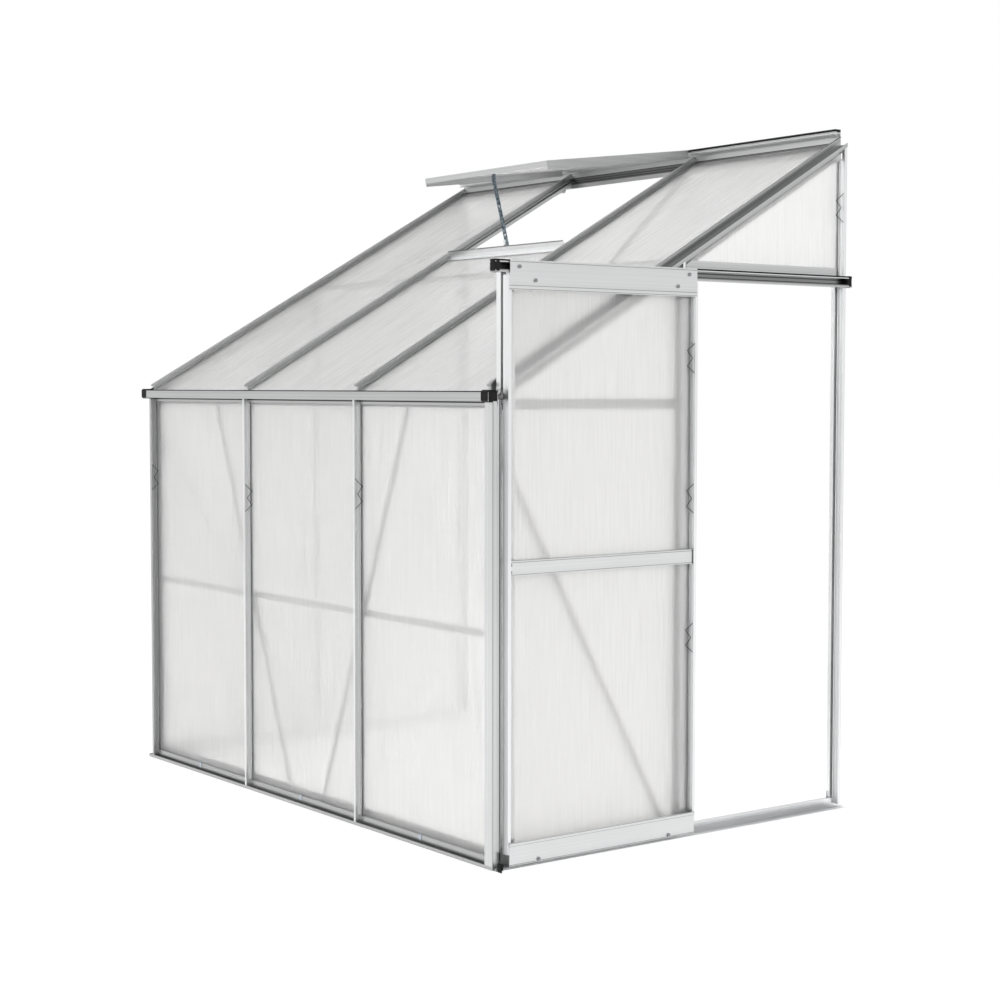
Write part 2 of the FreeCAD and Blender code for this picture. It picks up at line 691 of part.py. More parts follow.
# Fastening points and braces
SEAT = INNER_FACE - SKIN
CLAMP = SKIN + BAR_THICK
brace_level = SHELF_TOP - EAVE_FLANGE_DROP / 2
front_braces = []
roof_braces = []
gable_braces = []
for side in (-1, 1):
    corner = side * (HALF - CORNER_BOLT)
    post = "front_left_post" if side < 0 else "front_right_post"
    rafter = "rafter_left" if side < 0 else "rafter_right"
    gable_sill = "left_sill" if side < 0 else "door_sill"
    inwards = X * -side
    plane = side * (HALF - SEAT)

    # Front wall
    fasten([post, "mid_rails"], Vector(corner, FRONT + SEAT, MID_RAIL), Y, CLAMP)
    fasten([post, "front_sill"], Vector(corner, FRONT + SEAT, FOOT_BOLT), Y, CLAMP)
    fasten([post, "eave_gutter"], Vector(corner, FRONT + SEAT, brace_level), Y, CLAMP)
    top = Vector(side * (HALF - BRACE_TOP), FRONT + INNER_BACK, brace_level)
    inner_line = FRONT_LINES[1] if side < 0 else FRONT_LINES[-2]
    crossing = Vector(inner_line, FRONT + INNER_BACK, MID_RAIL)
    foot = crossing + (crossing - top) * ((MID_RAIL - BRACE_FOOT_LEVEL) / (top.z - MID_RAIL))
    front_braces.append(strip(foot, top, BRACE_WIDTH, Y, BAR_THICK))
    fasten(["front_braces", "eave_gutter"], top - Y * BAR_THICK, Y, 2 * BAR_THICK)
    fasten(["front_braces", "front_sill"], foot - Y * BAR_THICK, Y, 2 * BAR_THICK)

    # Gable
    spot = Vector(plane, FRONT + CORNER_BOLT, FOOT_BOLT)
    fasten([post, gable_sill], spot, inwards, CLAMP)
    for line in GABLE_LINES[1:]:
        fasten([gable_sill], Vector(plane, line, FOOT_BOLT), inwards, CLAMP)
    top = Vector(side * (HALF - INNER_BACK), FRONT + GABLE_BOLT, CROSS_BAR - GABLE_BRACE_DROP)
    foot = Vector(side * (HALF - INNER_BACK), GABLE_LINES[1] - GABLE_BRACE_CLEAR, BRACE_FOOT_LEVEL)
    gable_braces.append(strip(foot, top, BRACE_WIDTH, inwards, BAR_THICK))
    bolts.append(washer(top - inwards * BAR_THICK, inwards))
    fasten(["gable_braces", post], top - inwards * CLAMP, inwards, CLAMP + BAR_THICK)
    fasten(["gable_braces", gable_sill], foot - inwards * BAR_THICK, inwards, 2 * BAR_THICK)

    # Roof
    fasten([rafter, "roof_purlin"], roof_point(corner, PURLIN_DEPTH, SEAT), -NORMAL, CLAMP)
    fasten(["roof_purlin"], roof_point(inner_line, PURLIN_DEPTH, SEAT), -NORMAL, CLAMP)
    low = roof_point(corner, ROOF_BRACE_LOW, INNER_BACK)
    high = roof_point(inner_line, DEPTH - ROOF_BRACE_WALL, INNER_BACK)
    roof_braces.append(strip(low, high, BRACE_WIDTH, -NORMAL, BAR_THICK))
    for spot, names in ((low, [rafter, "roof_braces"]), (high, ["roof_braces"])):
        bolts.append(washer(spot + NORMAL * BAR_THICK, -NORMAL))
        fasten(names, spot + NORMAL * CLAMP, -NORMAL, CLAMP + BAR_THICK)

nodes["front_braces"] = Part.makeCompound(front_braces)
nodes["gable_braces"] = Part.makeCompound(gable_braces)
nodes["roof_braces"] = Part.makeCompound(roof_braces)
for line in FRONT_LINES[1:-1]:
    fasten(["mid_rails", "front_braces"], Vector(line, FRONT + SEAT, MID_RAIL), Y, CLAMP + BAR_THICK)
    fasten(["front_sill"], Vector(line, FRONT + SEAT, FOOT_BOLT), Y, CLAMP)
    names = ["eave_gutter", "eave_brackets"]
    fasten(names, Vector(line, FRONT + SEAT, brace_level), Y, CLAMP + BAR_THICK)
    fasten(["eave_brackets"], roof_point(line, BRACKET_RUN + BAR_WIDTH, SEAT), -NORMAL, CLAMP)
left_plane = SEAT - HALF
right_plane = HALF - SEAT
for line in GABLE_LINES[1:]:
    fasten(["mid_rails"], Vector(left_plane, line, MID_RAIL), X, CLAMP)
    fasten(["left_cross_bar"], Vector(left_plane, line, CROSS_BAR), X, CLAMP)
fasten(["front_left_post", "mid_rails"], Vector(left_plane, FRONT + CORNER_BOLT, MID_RAIL), X, CLAMP)
fasten(["door_transom"], Vector(right_plane, GABLE_LINES[-1], TRANSOM), -X, CLAMP)
tie = Vector(right_plane, GABLE_LINES[1] + TRANSOM_BOLT, TRANSOM - BOLT_HEAD - WEB_THICK)
fasten(["door_transom", "rafter_right"], tie, -X, CLAMP)
fasten(["right_cross_bar"], Vector(right_plane, GABLE_LINES[1], CROSS_BAR), -X, CLAMP)


# Brackets from the eave beam to the middle rafters, and the corner plates
def make_bracket(line):
    """Bent plate from the eave flange to a rafter."""
    near = FRONT + INNER_BACK
    far = near + BAR_THICK
    end = near + BRACKET_RUN
    upper = INNER_FACE * FALL
    under = INNER_BACK * FALL
    low = SHELF_TOP - EAVE_FLANGE_DROP
    points = [(near, low), (far, low), (far, head(far) - under), (end, head(end) - under)]
    points += [(end, head(end) - upper), (near, head(near) - upper)]
    return prism(points, (line - BAR_WIDTH / 2, line + BAR_WIDTH / 2))


nodes["eave_brackets"] = Part.makeCompound([make_bracket(line) for line in FRONT_LINES[1:-1]])


def make_corner_plate(side):
    """Stepped plate from a corner post to its rafter."""
    near = STRAP_START
    end = near + CORNER_PLATE_RUN
    leg = INNER_FACE + BAR_THICK * 3
    step = SHELF_TOP + BAR_THICK
    low = CROSS_BAR - CROSS_BAR_WIDTH / 2
    points = [(near, low), (end, low), (end, head(end) - leg * FALL), (near, head(near) - leg * FALL)]
    outer = (side * (HALF - INNER_FACE), side * (HALF - INNER_BACK - BAR_THICK))
    plate = prism(points, outer)
    return plate.cut(gable(side, (near - OVER, end + OVER), (0, INNER_BACK), (low - OVER, step)))


nodes["corner_plates"] = Part.makeCompound([make_corner_plate(-1), make_corner_plate(1)])
for side in (-1, 1):
    post = "front_left_post" if side < 0 else "front_right_post"
    rafter = "rafter_left" if side < 0 else "rafter_right"
    cross = "left_cross_bar" if side < 0 else "right_cross_bar"
    spot = Vector(side * (HALF - SEAT), FRONT + GABLE_BOLT, CROSS_BAR)
    fasten([post, cross, "corner_plates"], spot, X * -side, CLAMP + BAR_THICK)
    depth = INNER_BACK + BAR_THICK + CORNER_PLATE_RUN * 2 / 3
    level = head(FRONT + depth) - (INNER_FACE + LEG_REACH / 2 + BAR_THICK) * FALL
    spot = Vector(side * (HALF - SEAT), FRONT + depth, level)
    fasten([rafter, "corner_plates"], spot, X * -side, CLAMP + BAR_THICK)


# Door track: rail over the door with a post that carries its front end
def make_rail():
    """Channel rail, open away from the gable."""
    span = (FRONT - RAIL_OVERRUN, -BACK_GAP - CAP_THICK)
    top = RAIL_LOW + RAIL_HEIGHT
    depth = (-RAIL_DEPTH, 0)
    lip = (-RAIL_DEPTH, SKIN - RAIL_DEPTH)
    parts = [gable(1, span, (-SKIN, 0), (RAIL_LOW, top))]
    parts.append(gable(1, span, depth, (RAIL_LOW, RAIL_LOW + BAR_THICK)))
    parts.append(gable(1, span, depth, (top - BAR_THICK, top)))
    parts.append(gable(1, span, lip, (RAIL_LOW, RAIL_LOW + BAR_THICK + RAIL_LIP)))
    parts.append(gable(1, span, lip, (top - BAR_THICK - RAIL_LIP, top)))
    return fuse(parts)


nodes["door_rail"] = make_rail()
rail_caps = []
for start in (FRONT - RAIL_OVERRUN - CAP_THICK, -BACK_GAP - CAP_THICK):
    cap_z = (RAIL_LOW, RAIL_LOW + RAIL_HEIGHT)
    rail_caps.append(gable(1, (start, start + CAP_THICK), (-RAIL_DEPTH - WEB, 0), cap_z))
nodes["end_caps"] = Part.makeCompound([sill_cap] + gutter_caps + rail_caps)


def make_rail_post():
    """Angle post from the right rafter up to the rail, its foot cut to the pitch."""
    low = FRONT + CORNER_DEPTH + WEB_THICK
    span = (low, low + RAIL_POST_WIDTH)
    top = RAIL_LOW + RAIL_HEIGHT
    base = GUTTER_FLOOR
    parts = [gable(1, span, (0, BAR_THICK), (base, top))]
    parts.append(gable(1, (low, low + BAR_THICK), (0, RAIL_POST_REACH), (base, top)))
    parts.append(gable(1, span, (WEB_THICK, 2 * WEB_THICK), (base, head(span[1]) + BAR_WIDTH)))
    whole = (HALF + OVER, HALF - CORNER_INSET)
    rest = slope(whole, (CORNER_DEPTH - WEB, RIDGE_TOP), (FRONT, FRONT + BAY))
    edge = (HALF + OVER, HALF - WEB_THICK)
    lap = slope(edge, (CORNER_DEPTH - HEAD_WIDTH / 2, RIDGE_TOP), (FRONT, FRONT + BAY))
    return fuse(parts).cut([rest, lap])


nodes["rail_post"] = make_rail_post()

# Door leaf
LEAF = (FRONT + DOOR_INSET, GABLE_LINES[1] + DOOR_LAP)
DOOR_TOP = RAIL_LOW + RAIL_HEIGHT
HEAD_WEB_Z = RAIL_LOW - DOOR_HEAD_WEB
FOOT_WEB_Z = DOOR_LOW + DOOR_FOOT_WEB
STILE_Z = (FOOT_WEB_Z + SKIN, HEAD_WEB_Z)
PANE_BACK = DOOR_BACK + SKIN
PANE_FACE = PANE_BACK + SHEET
PLATE_SPAN = (LEAF[0] + 2 * WEB_THICK, LEAF[1] - 2 * WEB_THICK)
PLATE_G = (-DOOR_FACE - DOOR_PLATE, -DOOR_FACE)
INSIDE = (LEAF[0] + WEB_THICK, LEAF[1] - WEB_THICK)
BETWEEN = (LEAF[0] + DOOR_FLANGE + WEB_THICK + FIT, LEAF[1] - DOOR_FLANGE - WEB_THICK - FIT)


def make_stile(edge, way):
    """Door stile: web, head, cover wing and inner flange, reaching inwards along way."""
    web = (edge, edge + way * WEB_THICK)
    start = edge if way > 0 else edge + WEB_THICK
    parts = [gable(1, web, (-DOOR_FACE, -DOOR_BACK), STILE_Z)]
    parts.append(gable(1, (start, start + way * HEAD_WIDTH), (-DOOR_FACE, WEB_THICK - DOOR_FACE), STILE_Z))
    flange_end = edge + way * (DOOR_FLANGE + WEB_THICK)
    parts.append(gable(1, (edge, flange_end), (-PANE_BACK, -DOOR_BACK), STILE_Z))
    wing_d = (-PANE_FACE - SHEET_GAP - SKIN, -PANE_FACE - SHEET_GAP)
    parts.append(gable(1, (edge, edge + way * WING), wing_d, STILE_Z))
    return fuse(parts)


nodes["door_stile_front"] = make_stile(LEAF[0], 1)
nodes["door_stile_rear"] = make_stile(LEAF[1], -1)

mid_z = (DOOR_MID_LOW, DOOR_MID_LOW + DOOR_MID_HEIGHT)
mid_level = DOOR_MID_LOW + DOOR_MID_HEIGHT / 2
mid = [gable(1, INSIDE, (-DOOR_MID_FACE, SKIN - DOOR_MID_FACE), mid_z)]
mid.append(gable(1, BETWEEN, (-PANE_BACK, -DOOR_BACK), mid_z))
mid.append(gable(1, BETWEEN, (-DOOR_MID_FACE, -DOOR_BACK), (mid_level - SKIN / 2, mid_level + SKIN / 2)))
nodes["door_mid_rail"] = fuse(mid)

foot = [gable(1, PLATE_SPAN, PLATE_G, (DOOR_LOW, DOOR_LOW + DOOR_FOOT_HEIGHT))]
bead_z = (DOOR_LOW + DOOR_FOOT_HEIGHT - DOOR_FOOT_BEAD, DOOR_LOW + DOOR_FOOT_HEIGHT)
foot.append(gable(1, PLATE_SPAN, (PLATE_G[0] - BAR_THICK, PLATE_G[0]), bead_z))
foot.append(gable(1, LEAF, (-DOOR_FACE, -DOOR_BACK), (FOOT_WEB_Z, FOOT_WEB_Z + SKIN)))
nodes["door_bottom_rail"] = fuse(foot)

crown = [gable(1, PLATE_SPAN, PLATE_G, (DOOR_TOP - DOOR_HEAD_HEIGHT, DOOR_TOP))]
crown.append(gable(1, LEAF, (-DOOR_FACE, -DOOR_BACK), (HEAD_WEB_Z, HEAD_WEB_Z + SKIN)))
crown.append(gable(1, BETWEEN, (-PANE_BACK, -DOOR_BACK), (HEAD_WEB_Z - BAR_WIDTH, HEAD_WEB_Z)))
nodes["door_top_rail"] = fuse(crown)

door_edge = (LEAF[0] + WEB_THICK + SHEET_GAP, LEAF[1] - WEB_THICK - SHEET_GAP)
door_d = (-PANE_FACE, -PANE_BACK)
low_z = (FOOT_WEB_Z + SKIN, mid_level - SKIN / 2 - SHEET_GAP)
high_z = (mid_level + SKIN / 2, HEAD_WEB_Z - SHEET_GAP)
nodes["door_pane_lower"] = gable(1, door_edge, door_d, low_z)
nodes["door_pane_upper"] = gable(1, door_edge, door_d, high_z)

# Rollers on their axles, guide shoes and plate bolts
ROLLER_Z = RAIL_LOW + BAR_THICK + FIT + ROLLER_RADIUS
axles = []
for name, y in (("door_roller_front", LEAF[0] + ROLLER_INSET), ("door_roller_rear", LEAF[1] - ROLLER_INSET)):
    centre = Vector(HALF, y, ROLLER_Z)
    start = centre + X * ROLLER_START
    wheel = cylinder(ROLLER_RADIUS, ROLLER_WIDTH, start, X)
    nodes[name] = wheel.cut(cylinder(AXLE + RUN_GAP, ROLLER_WIDTH, start, X))
    stop = centre + X * (ROLLER_START - BAR_THICK - FIT)
    collar = start + X * (ROLLER_WIDTH + FIT)
    parts = [cylinder(AXLE, DOOR_FACE + DOOR_PLATE + BAR_THICK + FIT - ROLLER_START, stop, X)]
    parts.append(cylinder(BOLT_HEAD, BAR_THICK, stop, X))
    parts.append(cylinder(AXLE + SKIN, DOOR_FACE - ROLLER_START - ROLLER_WIDTH - FIT, collar, X))
    parts.append(cylinder(BOLT_HEAD, BOLT_HEAD_THICK, centre + X * (DOOR_FACE + DOOR_PLATE), X))
    axles.append(fuse(parts))
    hole = cylinder(AXLE + HOLE_GAP, DOOR_PLATE + 2 * OVER, centre + X * (DOOR_FACE - OVER), X)
    cutters.setdefault("door_top_rail", []).append(hole)

shoes = []
shoe_d = (SHOE_GAP - TRACK_RIB_FAR, -TRACK_RIB_NEAR - SKIN - SHOE_GAP)
for y in (LEAF[0] + SHOE_INSET, LEAF[1] - SHOE_INSET):
    span = (y - SHOE_WIDTH / 2, y + SHOE_WIDTH / 2)
    arm = gable(1, span, (-DOOR_FACE, shoe_d[1]), (DOOR_LOW, FOOT_WEB_Z))
    runner = gable(1, span, shoe_d, (2 * SKIN, DOOR_LOW))
    shoes.append(fuse([arm, runner]))
    seat = Vector(HALF + DOOR_FACE + DOOR_PLATE, y, DOOR_LOW + SHOE_BOLT)
    tip = seat - X * (DOOR_PLATE + BAR_THICK)
    screw = cylinder(BOLT_RADIUS, DOOR_PLATE + BAR_THICK, tip, X)
    door_bolts.append(fuse([cylinder(BOLT_HEAD, BOLT_HEAD_THICK, seat, X), screw]))
    bottom = Vector(HALF + TRACK_RIB_FAR, y, seat.z)
    hole = cylinder(BOLT_RADIUS + HOLE_GAP, seat.x - bottom.x, bottom, X)
    cutters.setdefault("door_bottom_rail", []).append(hole)
    cutters.setdefault("guide_shoes", []).append(hole)
nodes["guide_shoes"] = Part.makeCompound(shoes)
for y in (LEAF[0] + PLATE_BOLT_FRONT, LEAF[1] - PLATE_BOLT_REAR):
    seat = Vector(HALF + DOOR_FACE + DOOR_PLATE, y, DOOR_TOP - PLATE_BOLT_DROP)
    door_bolts.extend(bolt(seat, -X, DOOR_PLATE))
    drill(["door_top_rail"], seat, -X, DOOR_PLATE)
for z in (mid_z[0] + MID_BOLT, mid_z[1] - MID_BOLT):
    seat = Vector(HALF + DOOR_MID_FACE, INSIDE[0] + BOLT_HEAD + BOLT_HEAD_THICK, z)
    door_bolts.extend(bolt(seat, -X, SKIN))
    drill(["door_mid_rail"], seat, -X, SKIN)

# Vent lid, built level about its hinge and then turned to the pitch it rests at
LID_X = (FRONT_LINES[1] - LID_OVERHANG, FRONT_LINES[2] + LID_OVERHANG)


def lid_box(x, run, rise):
    """Box on the level lid: run counted forwards from the hinge, rise above it."""
    return box(x, (HINGE.y - run[0], HINGE.y - run[1]), (HINGE.z + rise[0], HINGE.z + rise[1]))


def rest(shape):
    """Turn a lid part from level down to its rest angle."""
    turned = shape.copy()
    turned.rotate(HINGE, X, LID_REST_ANGLE)
    return turned


SEAT_BACK = LID_SEAT + SKIN
LID_CLEAR = HINGE_ROD + HINGE_SHELL + HINGE_GAP
lid_low = LID_TOP - LID_SIDE
INNER_X = (LID_X[0] + SKIN + FIT, LID_X[1] - SKIN - FIT)
rod_start = Vector(LID_X[0], HINGE.y, HINGE.z)
rod = cylinder(HINGE_ROD, LID_X[1] - LID_X[0], rod_start, X)
hinge_parts = [rod, lid_box(LID_X, (HINGE_ROD - WEB, LID_CLEAR + WEB), (-WEB, WEB))]
hinge_parts.append(lid_box(LID_X, (LID_CLEAR, LID_CLEAR + SKIN), (-WEB, LID_TOP)))
hinge_parts.append(lid_box(INNER_X, (LID_CLEAR, LID_CLEAR + LID_FLANGE), (LID_SEAT, SEAT_BACK)))
hinge_parts.append(lid_box(LID_X, (LID_CLEAR, LID_CLEAR + HEAD_WIDTH), (LID_TOP - SKIN, LID_TOP)))
nodes["vent_hinge_bar"] = rest(fuse(hinge_parts))
side_run = (LID_CLEAR + SKIN + FIT, LID_LENGTH - SKIN)
side_bars = []
for side in (-1, 1):
    edge = max(LID_X) if side > 0 else min(LID_X)
    web = lid_box((edge, edge - side * SKIN), side_run, (lid_low, LID_TOP - SKIN - FIT))
    inner_run = (LID_CLEAR + LID_FLANGE + FIT, LID_LENGTH - LID_FLANGE - FIT)
    ledge = lid_box((edge, edge - side * LID_FLANGE), inner_run, (LID_SEAT, SEAT_BACK))
    lip_run = (LID_CLEAR + HEAD_WIDTH + FIT, LID_LENGTH - HEAD_WIDTH - FIT)
    lip = lid_box((edge, edge - side * HEAD_WIDTH), lip_run, (LID_TOP - SKIN, LID_TOP))
    riser = lid_box((edge, edge - side * SKIN), lip_run, (LID_SEAT, LID_TOP))
    side_bars.append(rest(fuse([web, ledge, lip, riser])))
nodes["vent_side_bars"] = Part.makeCompound(side_bars)
nose = (LID_TOP - LID_FRONT, LID_TOP)
front_parts = [lid_box(LID_X, (LID_LENGTH - SKIN, LID_LENGTH), nose)]
front_parts.append(lid_box(INNER_X, (LID_LENGTH - LID_FLANGE, LID_LENGTH), (LID_SEAT, SEAT_BACK)))
front_parts.append(lid_box(LID_X, (LID_LENGTH - HEAD_WIDTH, LID_LENGTH), (LID_TOP - SKIN, LID_TOP)))
nodes["vent_front_bar"] = rest(fuse(front_parts))
pane_x = (LID_X[0] + EDGE, LID_X[1] - EDGE)
pane_run = (LID_CLEAR + EDGE, LID_LENGTH - EDGE)
nodes["vent_pane"] = rest(lid_box(pane_x, pane_run, (SEAT_BACK, SEAT_BACK + SHEET)))

# Stay bracket under the front edge of the lid, and the cranked stay hanging from it
ear_x = (STAY_THICK / 2 + FIT, STAY_THICK / 2 + FIT + BAR_THICK)
pivot_run = LID_LENGTH - STAY_PIVOT_INSET
ear_run = (pivot_run - STAY_WIDTH / 2, pivot_run + STAY_WIDTH / 2)
pad_run = (ear_run[0], LID_LENGTH - WEB_THICK)
pad = lid_box((-BAR_WIDTH / 2, BAR_WIDTH / 2), pad_run, (LID_SEAT - BAR_THICK, LID_SEAT))
ear = lid_box(ear_x, ear_run, (-STAY_PIVOT_DROP - STAY_WIDTH / 2, LID_SEAT))
pin_start = Vector(-STAY_THICK / 2 - FIT, HINGE.y - pivot_run, HINGE.z - STAY_PIVOT_DROP)
pin = cylinder(STAY_PIN, STAY_THICK + 2 * FIT + BAR_THICK, pin_start, X)
knob = cylinder(STAY_PIN + SKIN, SKIN, pin_start - X * SKIN, X)
nodes["stay_bracket"] = rest(fuse([pad, ear, pin, knob]))


def make_stay():
    """Flat cranked stay with a row of peg holes."""
    across = X * STAY_THICK
    pivot = Vector(-STAY_THICK / 2, HINGE.y - pivot_run, HINGE.z - STAY_PIVOT_DROP)
    turned = Part.Vertex(pivot)
    turned.rotate(HINGE, X, LID_REST_ANGLE)
    pivot = turned.Point
    knee = Vector(pivot.x, VENT_Y + STAY_SET, head(VENT_Y) + STAY_RISE)
    tail = knee + Vector(0, STAY_TAIL_RUN, -STAY_TAIL_DROP)
    parts = [strip(pivot, knee, STAY_WIDTH, X, STAY_THICK), strip(knee, tail, STAY_WIDTH, X, STAY_THICK)]
    stay = fuse(parts)
    stay = stay.cut(cylinder(STAY_PIN + RUN_GAP, STAY_THICK, pivot, X))
    for k in range(1, STAY_HOLES + 1):
        spot = pivot + (knee - pivot) * (k / (STAY_HOLES + 1))
        stay = stay.cut(cylinder(STAY_PIN, STAY_THICK, spot, X))
    return stay, pivot, knee


nodes["vent_stay"], stay_pivot, stay_knee = make_stay()
print("hinge", HINGE.z, "stay pivot", stay_pivot.y, stay_pivot.z, "rollers", ROLLER_Z)

# Ear on the vent sill with the peg that the stay leans on
lean = (stay_pivot - stay_knee).normalize()
ahead = Vector(0, -lean.z, lean.y)
spot = stay_knee + lean * PEG_RISE + ahead * (STAY_WIDTH / 2 + STAY_PIN + SLACK)
ear_y = (min(spot.y, VENT_Y) - STAY_PIN, max(spot.y, VENT_Y) + STAY_PIN)
vent.append(box(ear_x, ear_y, (head(VENT_Y), spot.z + STAY_PIN + BAR_THICK)))
vent.append(cylinder(STAY_PIN, STAY_THICK * 2, Vector(ear_x[1] - STAY_THICK * 2, spot.y, spot.z), X))
nodes["vent_sill"] = fuse(vent)


# Wire clips that press the sheets into the bars
def wire(points):
    """Round wire through a run of points."""
    parts = []
    for first, second in zip(points, points[1:]):
        parts.append(cylinder(WIRE / 2, (second - first).Length, first, second - first))
    for point in points:
        parts.append(Part.makeSphere(WIRE / 2, point))
    return fuse(parts)


def clip(origin, out, along, inward):
    """Four-limbed clip: out leads away from the web, along runs up the bar, inward into the wall."""
    near = out * (WEB + WIRE) + inward * (WEB_THICK + WIRE)
    far = out * CLIP_REACH + inward * (SHEET_FRONT - WIRE)
    middle = out * (WING - WIRE) + inward * (WING_DEPTH / 2)
    stops = [near, far, middle, far, near]
    step = along * (CLIP_LENGTH / 4)
    return wire([origin + stop + step * k for k, stop in enumerate(stops)])


wall_clips = []
for i in range(FRONT_BAYS):
    level = CLIP_WALL - CLIP_STAGGER * (i % 2) - CLIP_LENGTH / 2
    wall_clips.append(clip(Vector(FRONT_LINES[i], FRONT, level), X, Z, Y))
wall_start = Vector(HALF, GABLE_LINES[-1], CLIP_GABLE - CLIP_LENGTH / 2)
wall_clips.append(clip(wall_start, -Y, Z, -X))
roof_clips = []
for i, depth in enumerate((CLIP_ROOF_FIRST, CLIP_ROOF_SECOND, CLIP_ROOF_THIRD)):
    line = FRONT_LINES[i + 1]
    roof_clips.append(clip(roof_point(line, depth, 0), -X, PITCH, -NORMAL))
nodes["wire_clips"] = Part.makeCompound(wall_clips + roof_clips)
door_clips = []
for k in range(FRONT_BAYS):
    level = CLIP_DOOR + k * CLIP_DOOR_STEP - CLIP_LENGTH / 2
    origin = Vector(HALF + PANE_FACE + SHEET_FRONT, LEAF[1] - WEB, level)
    door_clips.append(clip(origin, -Y, Z, -X))
nodes["door_clips"] = Part.makeCompound(door_clips)

# Small clips that hold the foot of each front sheet
pane_clips = []
for i in range(FRONT_BAYS):
    x = (FRONT_LINES[i] + FRONT_LINES[i + 1]) / 2 - PANE_CLIP_OFFSET
    span = (x - PANE_CLIP_WIDTH / 2, x + PANE_CLIP_WIDTH / 2)
    low = SILL_SEAT - PANE_CLIP
    face_z = (low, SILL_SEAT + SILL_STRIP + SKIN)
    plate = front(span, (WING_DEPTH - SKIN, WING_DEPTH), face_z)
    hook_z = (SILL_SEAT + SILL_STRIP, SILL_SEAT + SILL_STRIP + SKIN)
    pane_clips.append(fuse([plate, front(span, (WING_DEPTH - SKIN, SHEET_FRONT), hook_z)]))
nodes["pane_clips"] = Part.makeCompound(pane_clips)

nodes["frame_bolts"] = Part.makeCompound(bolts)
nodes["door_bolts"] = Part.makeCompound(axles + door_bolts)

os.makedirs("parts", exist_ok=True)
for name, shape in nodes.items():
    if name in cutters:
        shape = shape.cut(cutters[name])
    if len(shape.Solids) == 1:
        shape = shape.Solids[0]
    shape.exportStep("parts/" + name + ".step")
print(len(nodes), "nodes")
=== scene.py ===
"""Looks of the lean-to greenhouse: finishes for every bar, sheet and fitting, with the studio around them.

Lengths are metres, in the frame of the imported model: +X along the house wall to the door gable, +Y into
the house wall, +Z up, origin on the ground in the wall plane.
"""
import logging
import math
from dataclasses import dataclass
from enum import Enum
from typing import List, Optional, Sequence, Tuple

import bmesh
import bpy
import numpy as np
from mathutils import Matrix, Vector


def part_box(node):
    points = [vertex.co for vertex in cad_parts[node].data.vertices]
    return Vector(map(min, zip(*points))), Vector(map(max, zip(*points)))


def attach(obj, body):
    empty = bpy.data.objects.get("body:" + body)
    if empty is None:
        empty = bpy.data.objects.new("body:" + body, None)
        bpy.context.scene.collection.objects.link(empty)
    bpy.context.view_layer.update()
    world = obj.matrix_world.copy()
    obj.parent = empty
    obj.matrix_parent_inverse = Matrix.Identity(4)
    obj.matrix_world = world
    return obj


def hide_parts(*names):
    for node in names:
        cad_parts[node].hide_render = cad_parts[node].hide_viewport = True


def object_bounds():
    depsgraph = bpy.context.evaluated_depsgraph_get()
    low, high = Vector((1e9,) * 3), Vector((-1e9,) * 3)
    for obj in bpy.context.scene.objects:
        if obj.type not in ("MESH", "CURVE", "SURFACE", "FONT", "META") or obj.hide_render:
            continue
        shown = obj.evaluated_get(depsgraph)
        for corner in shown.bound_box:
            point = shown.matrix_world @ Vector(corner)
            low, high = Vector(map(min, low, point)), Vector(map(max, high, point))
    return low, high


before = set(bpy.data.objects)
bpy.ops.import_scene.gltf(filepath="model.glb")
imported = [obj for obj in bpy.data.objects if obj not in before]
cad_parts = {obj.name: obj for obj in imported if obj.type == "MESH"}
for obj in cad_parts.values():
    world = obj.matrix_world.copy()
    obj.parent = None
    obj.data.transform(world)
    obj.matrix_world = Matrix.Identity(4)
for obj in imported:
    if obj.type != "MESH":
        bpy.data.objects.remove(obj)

LOG = logging.getLogger("greenhouse")
CAD_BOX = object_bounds()

Triple = Tuple[float, float, float]
Colour = Tuple[float, float, float]
Shape = Tuple[np.ndarray, np.ndarray]
Node = bpy.types.Node
Socket = bpy.types.NodeSocket
Material = bpy.types.Material

ROOF_PITCH = math.radians(29.5)
LID_PITCH = math.radians(7.2)
SHARP = math.radians(30.0)
DIAGONAL = math.sqrt(0.5)
WELD = 1e-6  # points nearer than this are one point
DECIMALS = 6  # of a metre, to which corner points are compared
SAME_EDGE = 1e-4  # reach of a slab's cut side
CRISP = 0.0002  # half width of a fine line's blurred edges
ALONG = (1.0, 0.0, 0.0)
INWARD = (0.0, 1.0, 0.0)
UP = (0.0, 0.0, 1.0)
UNTURNED = (0.0, 0.0, 0.0)
UNSCALED = (1.0, 1.0, 1.0)
WHITE = (1.0, 1.0, 1.0, 1.0)
CLOUD = (0.3, 0.7)  # range that soft noise keeps to


class Run(Enum):
    """Direction that a bar or brushed streak runs in, as the turn of its pattern about X, Y and Z."""

    ALONG_X = (0.0, 0.0, 0.0)
    ALONG_Y = (0.0, 0.0, math.pi / 2)
    UPRIGHT = (0.0, math.pi / 2, 0.0)
    PITCH = (-ROOF_PITCH, 0.0, math.pi / 2)


@dataclass(frozen=True)
class Hang:
    """How a sheet hangs: webs repeat along across and run along run, its outer face looks along outward."""

    across: Triple
    run: Triple
    outward: Triple

    def turn(self) -> Triple:
        """Euler angles that bring across to X and run to Z."""
        across, run = Vector(self.across), Vector(self.run)
        return tuple(Matrix((across, run.cross(across), run)).to_euler("XYZ"))


def pitched(angle: float) -> Hang:
    """Hang of a sheet that climbs towards the house wall at an angle."""
    rise, reach = math.sin(angle), math.cos(angle)
    return Hang(ALONG, (0.0, reach, rise), (0.0, -rise, reach))


